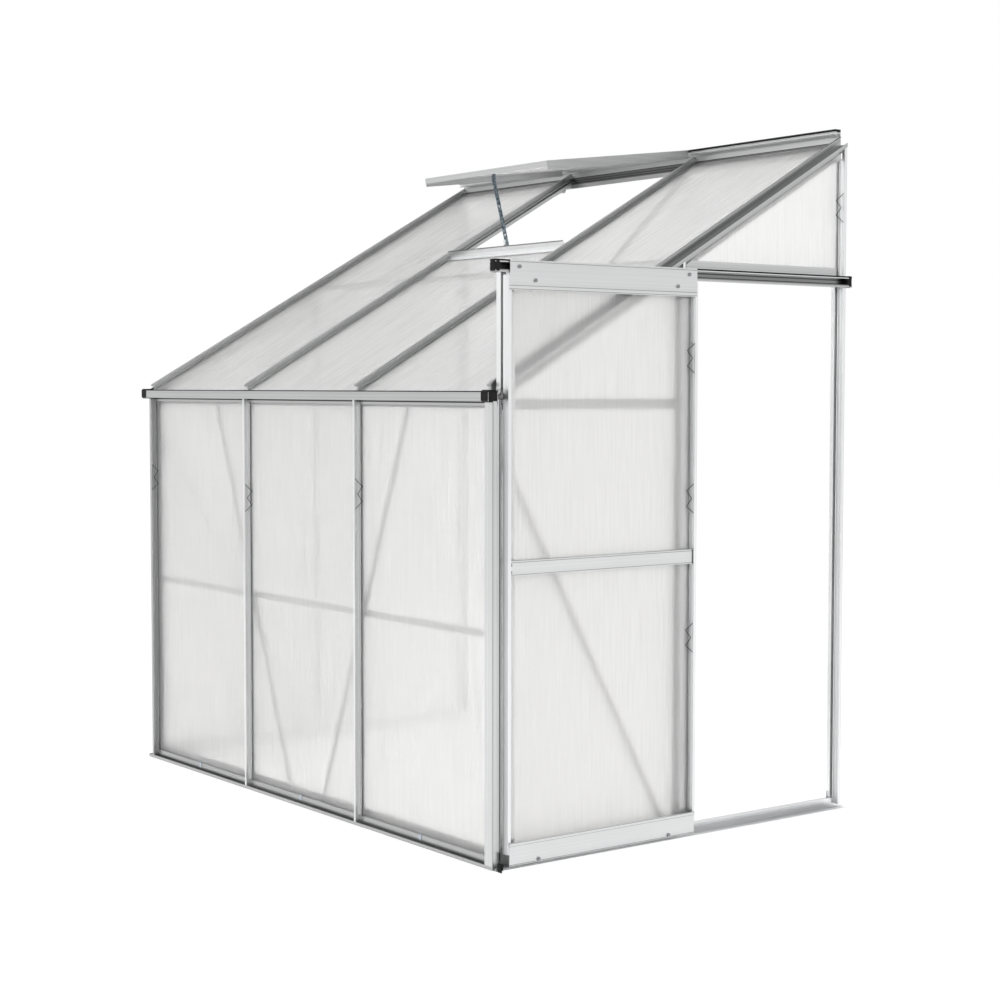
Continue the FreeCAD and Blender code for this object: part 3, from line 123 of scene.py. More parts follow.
class Wall(Enum):
    """The walls and pitches that carry sheets."""

    FRONT = Hang(ALONG, UP, (0.0, -1.0, 0.0))
    LEFT = Hang(INWARD, UP, (-1.0, 0.0, 0.0))
    RIGHT = Hang(INWARD, UP, (1.0, 0.0, 0.0))
    ROOF = pitched(ROOF_PITCH)
    LID = pitched(LID_PITCH)


@dataclass(frozen=True)
class Span:
    """Two places on a bar, counted from one of its edges, and the share of light kept between them."""

    low: float
    high: float
    keep: float


@dataclass(frozen=True)
class Band:
    """Painted shade or painted highlight along a bar, between two places on an axis; keep is the share of
    light it keeps, more than one for a painted highlight.

    Soft is half the width of its blurred edges. With a step, the places are distances to the nearest of
    the lines first plus whole steps.
    """

    axis: Triple
    low: float
    high: float
    keep: float = 0.35
    soft: float = 0.0003
    first: float = 0.0
    step: float = 0.0


def band_from(axis: Triple, edge: float, span: Span, soft: float = 0.0003) -> Band:
    """Band at a span's distances from an edge on the axis."""
    return Band(axis, edge + span.low, edge + span.high, span.keep, soft)


def level_bands(node: str, spans: Sequence[Span], soft: float = 0.0003) -> Tuple[Band, ...]:
    """Level bands along a bar, at heights counted from its top edge."""
    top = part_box(node)[1][2]
    return tuple(band_from(UP, top, span, soft) for span in spans)


class Graph:
    """Small builder for one node tree, a material's or the world's."""

    def __init__(self, name: str, tree: Optional[bpy.types.NodeTree] = None) -> None:
        """Start an empty tree with its output.

        Args:
            name: name of the new material.
            tree: the world's tree, where the graph is not a material's.
        """
        self.material = None
        kind = "ShaderNodeOutputWorld"
        if tree is None:
            self.material = bpy.data.materials.new(name)
            self.material.use_nodes = True
            tree = self.material.node_tree
            kind = "ShaderNodeOutputMaterial"
        self.nodes = tree.nodes
        self.links = tree.links
        self.nodes.clear()
        self.output = self.nodes.new(kind)

    def add(self, kind: str, **sockets: object) -> Node:
        """Add a node and fill its inputs.

        Args:
            kind: node type without its ShaderNode prefix.
            sockets: input name, with underscores for spaces, to a value or an output socket.

        Returns:
            The new node.
        """
        node = self.nodes.new("ShaderNode" + kind)
        for key, value in sockets.items():
            self.feed(node, key.replace("_", " "), value)
        return node

    def feed(self, node: Node, key: object, value: object) -> None:
        """Put a value or a link into one input.

        Args:
            node: node with the input.
            key: name or number of the input.
            value: plain value, or the output socket to link.
        """
        socket = node.inputs[key]
        if isinstance(value, Socket):
            self.links.new(value, socket)
        else:
            socket.default_value = value

    def step(self, kind: str, operation: str, first: object, second: object) -> Node:
        """One step of arithmetic on two operands.

        Args:
            kind: Math or VectorMath.
            operation: name of the node's operation.
            first: first operand, a value or a socket.
            second: second operand.

        Returns:
            The node.
        """
        node = self.add(kind)
        node.operation = operation
        self.feed(node, 0, first)
        self.feed(node, 1, second)
        return node

    def maths(self, operation: str, first: object, second: object = 0.0) -> Socket:
        """One step on numbers, and the socket of its result."""
        return self.step("Math", operation, first, second).outputs[0]

    def vector_maths(self, operation: str, first: object, second: object = UNTURNED) -> Node:
        """One step on vectors, and its node."""
        return self.step("VectorMath", operation, first, second)

    def spread(
        self, value: object, low: object, high: object, start: float = 0.0, end: float = 1.0
    ) -> Socket:
        """Carry start..end of a value over to low..high, clamped.

        Args:
            value: socket or number to carry over.
            low: result at start.
            high: result at end.
            start: lower end of the value.
            end: upper end of the value.

        Returns:
            The result's socket.
        """
        node = self.add("MapRange", Value=value, From_Min=start, From_Max=end, To_Min=low, To_Max=high)
        return node.outputs[0]

    def rays(self, *kinds: str) -> Socket:
        """One for a ray of any of the kinds, else nothing.

        Args:
            kinds: names of the Light Path outputs.

        Returns:
            The result's socket.
        """
        path = self.add("LightPath")
        level = path.outputs[kinds[0]]
        for kind in kinds[1:]:
            level = self.maths("MAXIMUM", level, path.outputs[kind])
        return level

    def blend_value(self, amount: object, first: object, second: object) -> Socket:
        """Blend of two numbers by an amount from 0 to 1.

        Args:
            amount: share of the second number.
            first: number or socket at 0.
            second: number or socket at 1.

        Returns:
            The result's socket.
        """
        node = self.add("Mix")
        for index, value in ((0, amount), (2, first), (3, second)):
            self.feed(node, index, value)
        return node.outputs[0]

    def place(self, turn: Sequence[float] = UNTURNED, scale: Sequence[float] = UNSCALED) -> Socket:
        """Object coordinates turned by an Euler angle and then scaled.

        Args:
            turn: rotation in radians about X, Y and Z.
            scale: factors along the turned axes, per metre.

        Returns:
            The vector socket.
        """
        rotate = self.add("VectorRotate")
        rotate.rotation_type = "EULER_XYZ"
        self.feed(rotate, "Vector", self.add("TexCoord").outputs["Object"])
        self.feed(rotate, "Rotation", tuple(turn))
        return self.vector_maths("MULTIPLY", rotate.outputs[0], tuple(scale)).outputs[0]

    def noise(self, vector: Socket, scale: float = 1.0, detail: float = 2.0) -> Socket:
        """Grey noise over a vector."""
        return self.add("TexNoise", Vector=vector, Scale=scale, Detail=detail).outputs[0]

    def tint(self, amount: object, low: object, high: object) -> Socket:
        """Blend of two colours, or colour sockets, by an amount from 0 to 1.

        Args:
            amount: share of the second colour.
            low: colour at 0.
            high: colour at 1.

        Returns:
            The colour's socket.
        """
        node = self.add("Mix")
        node.data_type = "RGBA"
        self.feed(node, "Factor", amount)
        for index, colour in ((6, low), (7, high)):
            self.feed(node, index, (*colour, 1.0) if isinstance(colour, tuple) else colour)
        return node.outputs[2]

    def band(self, band: Band) -> Socket:
        """One inside a band of places, nothing outside it.

        The place is the dot product with the axis. Where the band repeats, it is the distance to the nearest
        of the lines first plus whole steps.

        Args:
            band: where the band lies.

        Returns:
            The result's socket.
        """
        coordinates = self.add("TexCoord").outputs["Object"]
        place = self.vector_maths("DOT_PRODUCT", coordinates, band.axis).outputs["Value"]
        if band.step:
            share = self.maths("DIVIDE", self.maths("SUBTRACT", place, band.first), band.step)
            share = self.maths("SUBTRACT", share, self.maths("ROUND", share))
            place = self.maths("MULTIPLY", self.maths("ABSOLUTE", share), band.step)
        above = self.spread(place, 0.0, 1.0, band.low - band.soft, band.low + band.soft)
        below = self.spread(place, 1.0, 0.0, band.high - band.soft, band.high + band.soft)
        return self.maths("MULTIPLY", above, below)

    def bump(self, height: Socket, strength: float, distance: float) -> Socket:
        """Normal from a height of 0 to 1, where distance is the full step in metres."""
        return self.add("Bump", Height=height, Strength=strength, Distance=distance).outputs[0]

    def close(self, shader: Socket) -> Optional[Material]:
        """Join the shader to the output and hand back the material, if the graph is a material's."""
        self.links.new(shader, self.output.inputs["Surface"])
        return self.material


@dataclass(frozen=True)
class MillAluminium:
    """Extruded aluminium as it came from the die: endless draw lines along the bar and a faint bloom."""

    name: str
    run: Run
    tone: float = 0.58
    swing: float = 0.08
    roughness: float = 0.32
    bands: Tuple[Band, ...] = ()
    cool: Triple = (0.992, 1.0, 1.004)
    line_scale: Triple = (0.4, 330.0, 330.0)
    fine_scale: Triple = (2.0, 2600.0, 2600.0)
    bloom_scale: Triple = (2.5, 9.0, 9.0)
    line_share: float = 0.7
    contrast: Tuple[float, float] = (0.38, 0.62)
    duller: float = 0.05
    glossier: float = 0.04
    relief: float = 0.3
    line_depth: float = 0.00003

    def grey(self, level: float) -> Colour:
        """Slightly cool grey at a level."""
        return tuple(level * share for share in self.cool)

    def material(self) -> Material:
        """Die lines are noise stretched along the bar, at a width of millimetres and at a tenth of that.

        Returns:
            The finished material.
        """
        graph = Graph(self.name)
        lines = graph.noise(graph.place(self.run.value, self.line_scale))
        fine = graph.noise(graph.place(self.run.value, self.fine_scale))
        bloom = graph.noise(graph.place(self.run.value, self.bloom_scale))
        lined = graph.maths("MULTIPLY", lines, self.line_share)
        shade = graph.maths("ADD", lined, graph.maths("MULTIPLY", bloom, 1.0 - self.line_share))
        low = self.grey(self.tone * (1 - self.swing))
        high = self.grey(self.tone * (1 + self.swing))
        colour = graph.tint(graph.spread(shade, 0.0, 1.0, *self.contrast), low, high)
        # painted shade and painted highlights along the bar, one band at a time
        for band in self.bands:
            colour = graph.tint(graph.band(band), colour, self.grey(self.tone * band.keep))
        glossy, dull = self.roughness - self.glossier, self.roughness + self.duller
        shader = graph.add(
            "BsdfPrincipled",
            Base_Color=colour,
            Metallic=1.0,
            Roughness=graph.spread(bloom, glossy, dull, *CLOUD),
            Normal=graph.bump(fine, self.relief, self.line_depth),
        )
        return graph.close(shader.outputs[0])


@dataclass(frozen=True)
class TwinWallSheet:
    """Hazy double-skinned sheet: webs every few millimetres streak what stands behind it."""

    name: str
    hang: Hang
    pitch: float = 0.006
    milk: Colour = (0.985, 0.982, 0.976)
    shaded: float = 0.86
    least_pale: float = 0.25
    web_shade: float = 0.3
    web_sharpness: float = 6.0
    streak_scale: Triple = (190.0, 190.0, 6.0)
    tilt_scale: Triple = (120.0, 120.0, 3.0)
    tilt_range: Tuple[float, float] = (0.25, 0.75)
    smear: float = 0.20
    jitter: float = 0.05
    blur: float = 0.40
    through: float = 0.82
    bending: float = 1.3
    coat: float = 0.35
    gloss: float = 0.14
    cover: float = 0.66

    def lean(self, graph: Graph, side: Socket, along: Socket) -> Socket:
        """Normal tipped sideways over the webs and along them.

        Args:
            graph: the sheet's node tree.
            side: tip across the webs.
            along: tip along the webs.

        Returns:
            The unit normal.
        """
        total = graph.add("NewGeometry").outputs["Normal"]
        for way, amount in ((self.hang.across, side), (self.hang.run, along)):
            part = graph.vector_maths("SCALE", way)
            graph.feed(part, "Scale", amount)
            total = graph.vector_maths("ADD", total, part.outputs[0]).outputs[0]
        return graph.vector_maths("NORMALIZE", total).outputs[0]

    def material(self) -> Material:
        """Tone and tilt follow the place across the webs, each web a little off its neighbours.

        A dark line runs along every web, where the sine of the place over the pitch peaks. The normal leans
        across the sheet and, less, along the web by noise drawn out thirty to forty times along the web.

        Returns:
            The finished material.
        """
        graph = Graph(self.name)
        turn = self.hang.turn()
        across = graph.add("SeparateXYZ", Vector=graph.place(turn)).outputs["X"]
        wave = graph.maths("SINE", graph.maths("MULTIPLY", across, 2 * math.pi / self.pitch))
        web = graph.maths("POWER", graph.spread(wave, 0.0, 1.0, -1.0, 1.0), self.web_sharpness)
        streak = graph.noise(graph.place(turn, self.streak_scale), detail=3.0)
        other = graph.noise(graph.place(turn, self.tilt_scale))
        pale = graph.spread(streak, self.least_pale, 1.0, *CLOUD)
        grey = graph.maths("SUBTRACT", pale, graph.maths("MULTIPLY", web, self.web_shade))
        dark = tuple(self.shaded * share for share in self.milk)
        side = graph.spread(streak, -self.smear, self.smear, *self.tilt_range)
        along = graph.spread(other, -self.jitter, self.jitter, *self.tilt_range)
        shader = graph.add(
            "BsdfPrincipled",
            Base_Color=graph.tint(grey, dark, self.milk),
            Normal=self.lean(graph, side, along),
            Roughness=self.blur,
            Transmission_Weight=self.through,
            IOR=self.bending,
            Coat_Weight=self.coat,
            Coat_Roughness=self.gloss,
            Alpha=self.cover,
        )
        return graph.close(shader.outputs[0])


@dataclass(frozen=True)
class MouldedPlastic:
    """Moulded plastic with a fine even grain."""

    name: str
    colour: Colour = (0.006, 0.006, 0.0065)
    roughness: float = 0.55
    grain: float = 1400.0
    wear: float = 60.0
    wear_gain: float = 1.5
    wear_lift: float = 0.004
    contrast: Tuple[float, float] = (0.35, 0.7)
    glossier: float = 0.05
    duller: float = 0.12
    relief: float = 0.3
    depth: float = 0.0001
    mirror: float = 0.15

    def worn(self) -> Colour:
        """Colour of the grain's rubbed tops."""
        return tuple(min(1.0, share * self.wear_gain + self.wear_lift) for share in self.colour)

    def material(self) -> Material:
        """Grain from small noise, a little paler on its tops.

        Returns:
            The finished material.
        """
        graph = Graph(self.name)
        where = graph.place()
        grain = graph.noise(where, self.grain)
        wear = graph.spread(graph.noise(where, self.wear, 3.0), 0.0, 1.0, *self.contrast)
        shader = graph.add(
            "BsdfPrincipled",
            Base_Color=graph.tint(wear, self.colour, self.worn()),
            Roughness=graph.spread(grain, self.roughness - self.glossier, self.roughness + self.duller),
            Normal=graph.bump(grain, self.relief, self.depth),
            Specular_IOR_Level=self.mirror,
        )
        return graph.close(shader.outputs[0])


@dataclass(frozen=True)
class PlatedSteel:
    """Plated steel with soft spangled patches."""

    name: str
    pale: Colour = (0.40, 0.47, 0.52)
    deep: Colour = (0.14, 0.18, 0.21)
    roughness: float = 0.26
    duller: float = 0.14
    grain: float = 120.0
    pore_grain: float = 9.0
    contrast: Tuple[float, float] = (0.32, 0.68)
    relief: float = 0.2
    depth: float = 0.0001

    def material(self) -> Material:
        """Patches from noise at the size of the plating's bloom, and pores nine times as fine.

        Returns:
            The finished material.
        """
        graph = Graph(self.name)
        where = graph.place()
        bloom = graph.noise(where, self.grain, 3.0)
        pores = graph.noise(where, self.grain * self.pore_grain)
        shader = graph.add(
            "BsdfPrincipled",
            Base_Color=graph.tint(graph.spread(bloom, 0.0, 1.0, *self.contrast), self.deep, self.pale),
            Metallic=1.0,
            Roughness=graph.spread(bloom, self.roughness, self.roughness + self.duller, *CLOUD),
            Normal=graph.bump(pores, self.relief, self.depth),
        )
        return graph.close(shader.outputs[0])


def loose_solids(node: str) -> List[np.ndarray]:
    """Corner points of each separate solid in a CAD node.

    Args:
        node: name of the node.

    Returns:
        One array of points per solid, in the frame of the model.
    """
    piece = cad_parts[node]
    mesh = piece.data
    points = np.empty(len(mesh.vertices) * 3)
    mesh.vertices.foreach_get("co", points)
    turn = np.array(piece.matrix_world)
    points = points.reshape(-1, 3) @ turn[:3, :3].T + turn[:3, 3]
    edges = np.empty(len(mesh.edges) * 2, dtype=int)
    mesh.edges.foreach_get("vertices", edges)
    welded, index = np.unique(np.round(points, DECIMALS), axis=0, return_inverse=True)
    edges = index.reshape(-1)[edges].reshape(-1, 2)
    label = np.arange(len(welded))
    while True:
        low = np.minimum(label[edges[:, 0]], label[edges[:, 1]])
        fresh = label.copy()
        np.minimum.at(fresh, edges[:, 0], low)
        np.minimum.at(fresh, edges[:, 1], low)
        if np.array_equal(fresh, label):
            return [welded[label == mark] for mark in np.unique(label)]
        label = fresh


def grid_faces(rows: int, columns: int) -> np.ndarray:
    """Quads of a grid of points kept row by row, where each row's last point joins its first.

    Args:
        rows: number of rows.
        columns: number of points in a row.

    Returns:
        Array of four indices per face.
    """
    row = np.arange(rows - 1)[:, None] * columns
    column = np.arange(columns)[None, :]
    after = (column + 1) % columns
    quads = np.stack([row + column, row + after, row + columns + after, row + columns + column], axis=-1)
    return quads.reshape(-1, 4)


def joined(shapes: Sequence[Shape]) -> Shape:
    """Several shapes as one, with each one's quads shifted on to its own points.

    Args:
        shapes: points and quads of each shape.

    Returns:
        Points and quads of all of them.
    """
    starts = np.cumsum([0] + [len(points) for points, _ in shapes])
    quads = [faces + start for (_, faces), start in zip(shapes, starts)]
    return np.concatenate([points for points, _ in shapes]), np.concatenate(quads)


def make_piece(
    name: str, shapes: Sequence[Shape], material: Material, smooth: bool = True
) -> bpy.types.Object:
    """Object from points and quads, with its origin at the origin of the model.

    Args:
        name: name of the object.
        shapes: points and quads of its parts.
        material: finish of all of it.
        smooth: whether its faces are shaded as one curve.

    Returns:
        The linked object, with outward normals.
    """
    points, faces = joined(shapes)
    mesh = bpy.data.meshes.new(name)
    mesh.from_pydata(points.tolist(), [], faces.tolist())
    work = bmesh.new()
    work.from_mesh(mesh)
    bmesh.ops.remove_doubles(work, verts=work.verts, dist=WELD)
    bmesh.ops.recalc_face_normals(work, faces=work.faces)
    work.to_mesh(mesh)
    work.free()
    mesh.polygons.foreach_set("use_smooth", np.full(len(mesh.polygons), smooth))
    mesh.set_sharp_from_angle(angle=SHARP)
    mesh.materials.append(material)
    piece = bpy.data.objects.new(name, mesh)
    bpy.context.scene.collection.objects.link(piece)
    LOG.info("built %s: %d faces", name, len(mesh.polygons))
    return piece


def dress(nodes: Sequence[str], material: Material) -> None:
    """Give carried-over CAD nodes their finish.

    Args:
        nodes: names of the nodes.
        material: finish for all of them.
    """
    for node in nodes:
        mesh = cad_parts[node].data
        mesh.materials.clear()
        mesh.materials.append(material)
        LOG.info("dressed %s with %s", node, material.name)


@dataclass
class Section:
    """Painted shade on a glazing bar's section: in the recess beside its web, and in a groove on each side.
    """

    # painted shade: in the recess beside the web, and lines in the grooves beside the head
    joint: Tuple[float, float] = (0.0026, 0.0136)
    recess_shade_keep: float = 0.80
    groove_shade: Tuple[float, float] = (0.0086, 0.0098)
    flute_shade: Tuple[float, float] = (0.0030, 0.0038)
    groove_shade_keep: float = 0.40

    def level(self, nodes: Sequence[str], hang: Hang) -> float:
        """How far out the outermost face of the nodes lies."""
        corners = np.concatenate([solid for name in nodes for solid in loose_solids(name)])
        return float((corners @ np.array(hang.outward)).max())

    def bands(self, nodes: Sequence[str], hang: Hang, first: float, step: float) -> Tuple[Band, ...]:
        """Painted shade bands of bars that stand step apart across a wall.

        Args:
            nodes: bars whose outer face sets the depth.
            hang: the wall they stand in.
            first: place of one bar's web on the axis across.
            step: distance between webs.

        Returns:
            The painted shade of the recess in the depth of the wall, and the painted shade in the grooves
            beside each web.
        """
        face = self.level(nodes, hang)
        # painted shade in the recess between the face of the bars and their wings
        joint = Band(hang.outward, face - self.joint[1], face - self.joint[0], self.recess_shade_keep)
        # painted shade lines in the grooves on each side of every web
        groove_shades = [
            Band(hang.across, low, high, self.groove_shade_keep, CRISP, first, step)
            for low, high in (self.groove_shade, self.flute_shade)
        ]
        return (joint, *groove_shades)


@dataclass
class BarFrame:
    """Every aluminium bar of the fixed frame, grouped by the way it runs; each group's tone is painted light
    and shade.
    """

    bay: float = 0.622
    front_line: float = 0.311
    gable_line: float = -0.631
    left_corner: Tuple[str, ...] = ("front_left_post",)
    right_corner: Tuple[str, ...] = ("front_right_post",)
    studs: Tuple[str, ...] = ("front_studs",)
    left: Tuple[str, ...] = ("left_gable_stud", "wall_left_post")
    right: Tuple[str, ...] = ("door_jamb", "wall_right_post")
    rail_post: Tuple[str, ...] = ("rail_post",)
    braces: Tuple[str, ...] = ("front_braces", "gable_braces")
    mid_rails: Tuple[str, ...] = ("mid_rails",)
    sills: Tuple[str, ...] = ("front_sill", "roof_purlin")
    vent_sill: Tuple[str, ...] = ("vent_sill",)
    gutter: Tuple[str, ...] = ("eave_gutter",)
    ridge: Tuple[str, ...] = ("ridge_bar",)
    door_sill: Tuple[str, ...] = ("door_sill",)
    gable_bars: Tuple[str, ...] = ("left_sill", "left_cross_bar", "right_cross_bar", "door_transom")
    track: Tuple[str, ...] = ("door_rail",)
    rafters: Tuple[str, ...] = ("middle_rafters",)
    edge_rafters: Tuple[str, ...] = ("rafter_left", "rafter_right")
    roof_braces: Tuple[str, ...] = ("roof_braces",)
    # painted shadow inside the gutter, and painted shade lines along its lip's edges
    trough_shade: Span = Span(0.0018, 0.0285, 0.12)
    gutter_edge_shades: Tuple[Span, ...] = (Span(-0.0030, 0.0010, 0.06), Span(-0.0310, -0.0272, 0.12))
    vent_rim: Span = Span(0.0070, 0.0110, 0.30)
    arris: Span = Span(-0.0016, 0.0010, 0.60)
    # painted shade in the gap where the gable's sheet begins
    sheet_gap_shade: Span = Span(0.0195, 0.0235, 0.25)
    # painted shade under the ridge's top lip and over the slot below it, painted shade lines in that slot,
    # and a painted highlight lifting the shaded hinge socket
    ridge_shade_and_highlight: Tuple[Span, ...] = (
        Span(-0.0070, 0.0010, 0.25),
        Span(-0.0180, -0.0070, 1.90),
        Span(-0.0580, -0.0355, 0.32),
        Span(-0.0385, -0.0365, 0.14),
        Span(-0.0473, -0.0441, 0.14),
        Span(-0.0545, -0.0510, 0.14),
    )
    # painted shade lines along the door track, and painted highlights, keep above one, on its lit strips
    track_shade_and_highlight: Tuple[Span, ...] = (
        Span(-0.0042, 0.0010, 0.06),
        Span(-0.0085, -0.0042, 2.80),
        Span(-0.0130, -0.0095, 0.40),
        Span(-0.0245, -0.0205, 0.35),
        Span(-0.0330, -0.0275, 2.00),
    )

    def gutter_shade_bands(self) -> Tuple[Band, ...]:
        """Painted shadow in the trough behind the lip, and painted shade lines along the lip's two edges."""
        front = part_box("eave_gutter")[0][1]
        return (band_from(INWARD, front, self.trough_shade), *level_bands("eave_gutter", self.gutter_edge_shades, CRISP))

    def vent_sill_bands(self) -> Tuple[Band, ...]:
        """Dark edge along the upper rim of the bar below the vent."""
        face = Section().level(self.rafters, Wall.ROOF.value)
        return (band_from(Wall.ROOF.value.outward, face, self.vent_rim),)

    def corner_bands(self) -> Tuple[Band, ...]:
        """Darker outer arris of the right corner post, and painted shade in the gap where the gable's sheet
        begins.

        The arris lies furthest out along the diagonal between the front and the right gable.

        Returns:
            The arris and the painted shade of the gap.
        """
        low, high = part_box("front_right_post")
        reach = (high[0] - low[1]) * DIAGONAL
        arris = band_from((DIAGONAL, -DIAGONAL, 0.0), reach, self.arris, CRISP)
        return (arris, band_from(INWARD, low[1], self.sheet_gap_shade))

    def dress(self) -> None:
        """Dress each group with draw lines along its own length."""
        section = Section()
        front = section.bands(self.studs, Wall.FRONT.value, self.front_line, self.bay)
        left = section.bands(self.left[:1], Wall.LEFT.value, self.gable_line, self.bay)
        right = section.bands(self.right[:1], Wall.RIGHT.value, self.gable_line, self.bay)
        roof = section.bands(self.rafters, Wall.ROOF.value, self.front_line, self.bay)
        # painted shade and painted highlights along the ridge and the door track
        ridge = level_bands("ridge_bar", self.ridge_shade_and_highlight)
        track = level_bands("door_rail", self.track_shade_and_highlight)
        # each group's tone is painted light and shade: bars turned from the lamps, behind sheets or in shade
        # are darker copies of one aluminium
        groups = (
            (self.left_corner, "corner_mill_left", Run.UPRIGHT, 0.52, front),
            (self.right_corner, "corner_mill", Run.UPRIGHT, 0.66, self.corner_bands()),
            (self.studs, "stud_mill", Run.UPRIGHT, 0.80, front),
            (self.left, "left_mill", Run.UPRIGHT, 0.80, left),
            (self.right, "right_mill", Run.UPRIGHT, 0.92, right),
            (self.rail_post, "rail_post_mill", Run.UPRIGHT, 0.78, ()),
            (self.braces, "brace_mill", Run.UPRIGHT, 0.50, ()),
            (self.mid_rails, "mid_rail_mill", Run.ALONG_X, 0.78, ()),
            (self.sills, "sill_mill", Run.ALONG_X, 0.46, ()),
            (self.gutter, "gutter_mill", Run.ALONG_X, 0.50, self.gutter_shade_bands()),
            (self.ridge, "ridge_mill", Run.ALONG_X, 0.38, ridge),
            (self.vent_sill, "vent_sill_mill", Run.ALONG_X, 0.90, self.vent_sill_bands()),
            (self.gable_bars, "gable_mill", Run.ALONG_Y, 0.58, ()),
            (self.door_sill, "door_sill_mill", Run.ALONG_Y, 0.95, ()),
            (self.track, "track_mill", Run.ALONG_Y, 0.25, track),
            (self.rafters, "rafter_mill", Run.PITCH, 0.50, roof),
            (self.edge_rafters, "edge_rafter_mill", Run.PITCH, 0.50, roof),
            (self.roof_braces, "roof_brace_mill", Run.PITCH, 0.50, ()),
        )
        for names, finish, run, tone, bands in groups:
            dress(names, MillAluminium(finish, run, tone, bands=bands).material())


@dataclass
class Glazing:
    """Every sheet, rebuilt as a fluted double wall in the place of its flat slab."""

    pitch: float = 0.006
    relief: float = 0.00022
    steps: int = 4
    rows: int = 3
    front: Tuple[str, ...] = ("front_panes",)
    roof: Tuple[str, ...] = ("side_roof_panes", "middle_roof_pane")
    left: Tuple[str, ...] = ("left_panes_lower", "left_panes_upper")
    right: Tuple[str, ...] = ("right_pane_lower", "right_pane_upper", "transom_pane")
    door: Tuple[str, ...] = ("door_pane_lower", "door_pane_upper")
    lid: Tuple[str, ...] = ("vent_pane",)

    def ends(self, local: np.ndarray) -> Tuple[List[float], List[float]]:
        """Where both faces of a slab start and stop along its run, at its two cut sides.

        Args:
            local: corner points, as places across, along the run and outward.

        Returns:
            Starts and stops, one of each per side.
        """
        low, high = local.min(axis=0), local.max(axis=0)
        starts, stops = [], []
        for side in (low[0], high[0]):
            edge = local[np.abs(local[:, 0] - side) < SAME_EDGE]
            outside = edge[:, 2] > (low[2] + high[2]) / 2
            outer, inner = edge[outside, 1], edge[~outside, 1]
            starts.append(max(outer.min(), inner.min()))
            stops.append(min(outer.max(), inner.max()))
        return starts, stops

    def sheet(self, corners: np.ndarray, hang: Hang) -> Shape:
        """One fluted sheet: the outline of its cut end is carried from the lower edge to the upper one.

        The end's outline runs once round the sheet. Each skin sinks between two webs by the relief times
        one minus the cosine of the place across over the pitch, halved.

        Args:
            corners: the flat slab's corner points.
            hang: how the sheet hangs.

        Returns:
            Points and quads.
        """
        basis = np.array([hang.across, hang.run, hang.outward])
        local = corners @ basis.T
        low, high = local.min(axis=0), local.max(axis=0)
        starts, stops = self.ends(local)
        count = max(2, round((high[0] - low[0]) / self.pitch)) * self.steps + 1
        share = np.linspace(0.0, 1.0, count)
        sink = self.relief * (1 - np.cos(2 * np.pi * share * (count - 1) / self.steps)) / 2
        share = np.concatenate([share, share[::-1]])
        depth = np.concatenate([high[2] - sink, low[2] + sink[::-1]])
        across = low[0] + share * (high[0] - low[0])
        bottom = starts[0] + share * (starts[1] - starts[0])
        top = stops[0] + share * (stops[1] - stops[0])
        climb = np.linspace(0.0, 1.0, self.rows)[:, None]
        run = bottom + climb * (top - bottom)
        points = np.stack([across + 0 * run, run, depth + 0 * run], axis=-1).reshape(-1, 3) @ basis
        strip = np.arange(count - 1)
        end = np.stack([strip, strip + 1, 2 * count - 2 - strip, 2 * count - 1 - strip], axis=-1)
        far_end = end + (self.rows - 1) * 2 * count
        return points, np.concatenate([grid_faces(self.rows, 2 * count), end, far_end])

    def build(self, node: str, hang: Hang, body: str, material: Material) -> None:
        """Rebuild one node's sheets as a single piece that rides on its body.

        Args:
            node: CAD node with the flat slabs.
            hang: how its sheets hang.
            body: moving body that carries them.
            material: finish of the sheets.
        """
        sheets = [self.sheet(corners, hang) for corners in loose_solids(node)]
        piece = make_piece(node + "_fluted", sheets, material)
        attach(piece, body)
        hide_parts(node)

    def dress(self) -> None:
        """Build every sheet with the finish for the way its webs repeat."""
        plan = (
            (self.front, Wall.FRONT, "frame"),
            (self.roof, Wall.ROOF, "frame"),
            (self.left, Wall.LEFT, "frame"),
            (self.right, Wall.RIGHT, "frame"),
            (self.door, Wall.RIGHT, "door_leaf"),
            (self.lid, Wall.LID, "vent_lid"),
        )
        for names, wall, body in plan:
            material = TwinWallSheet("sheet_" + wall.name.lower(), wall.value, self.pitch).material()
            for name in names:
                self.build(name, wall.value, body, material)


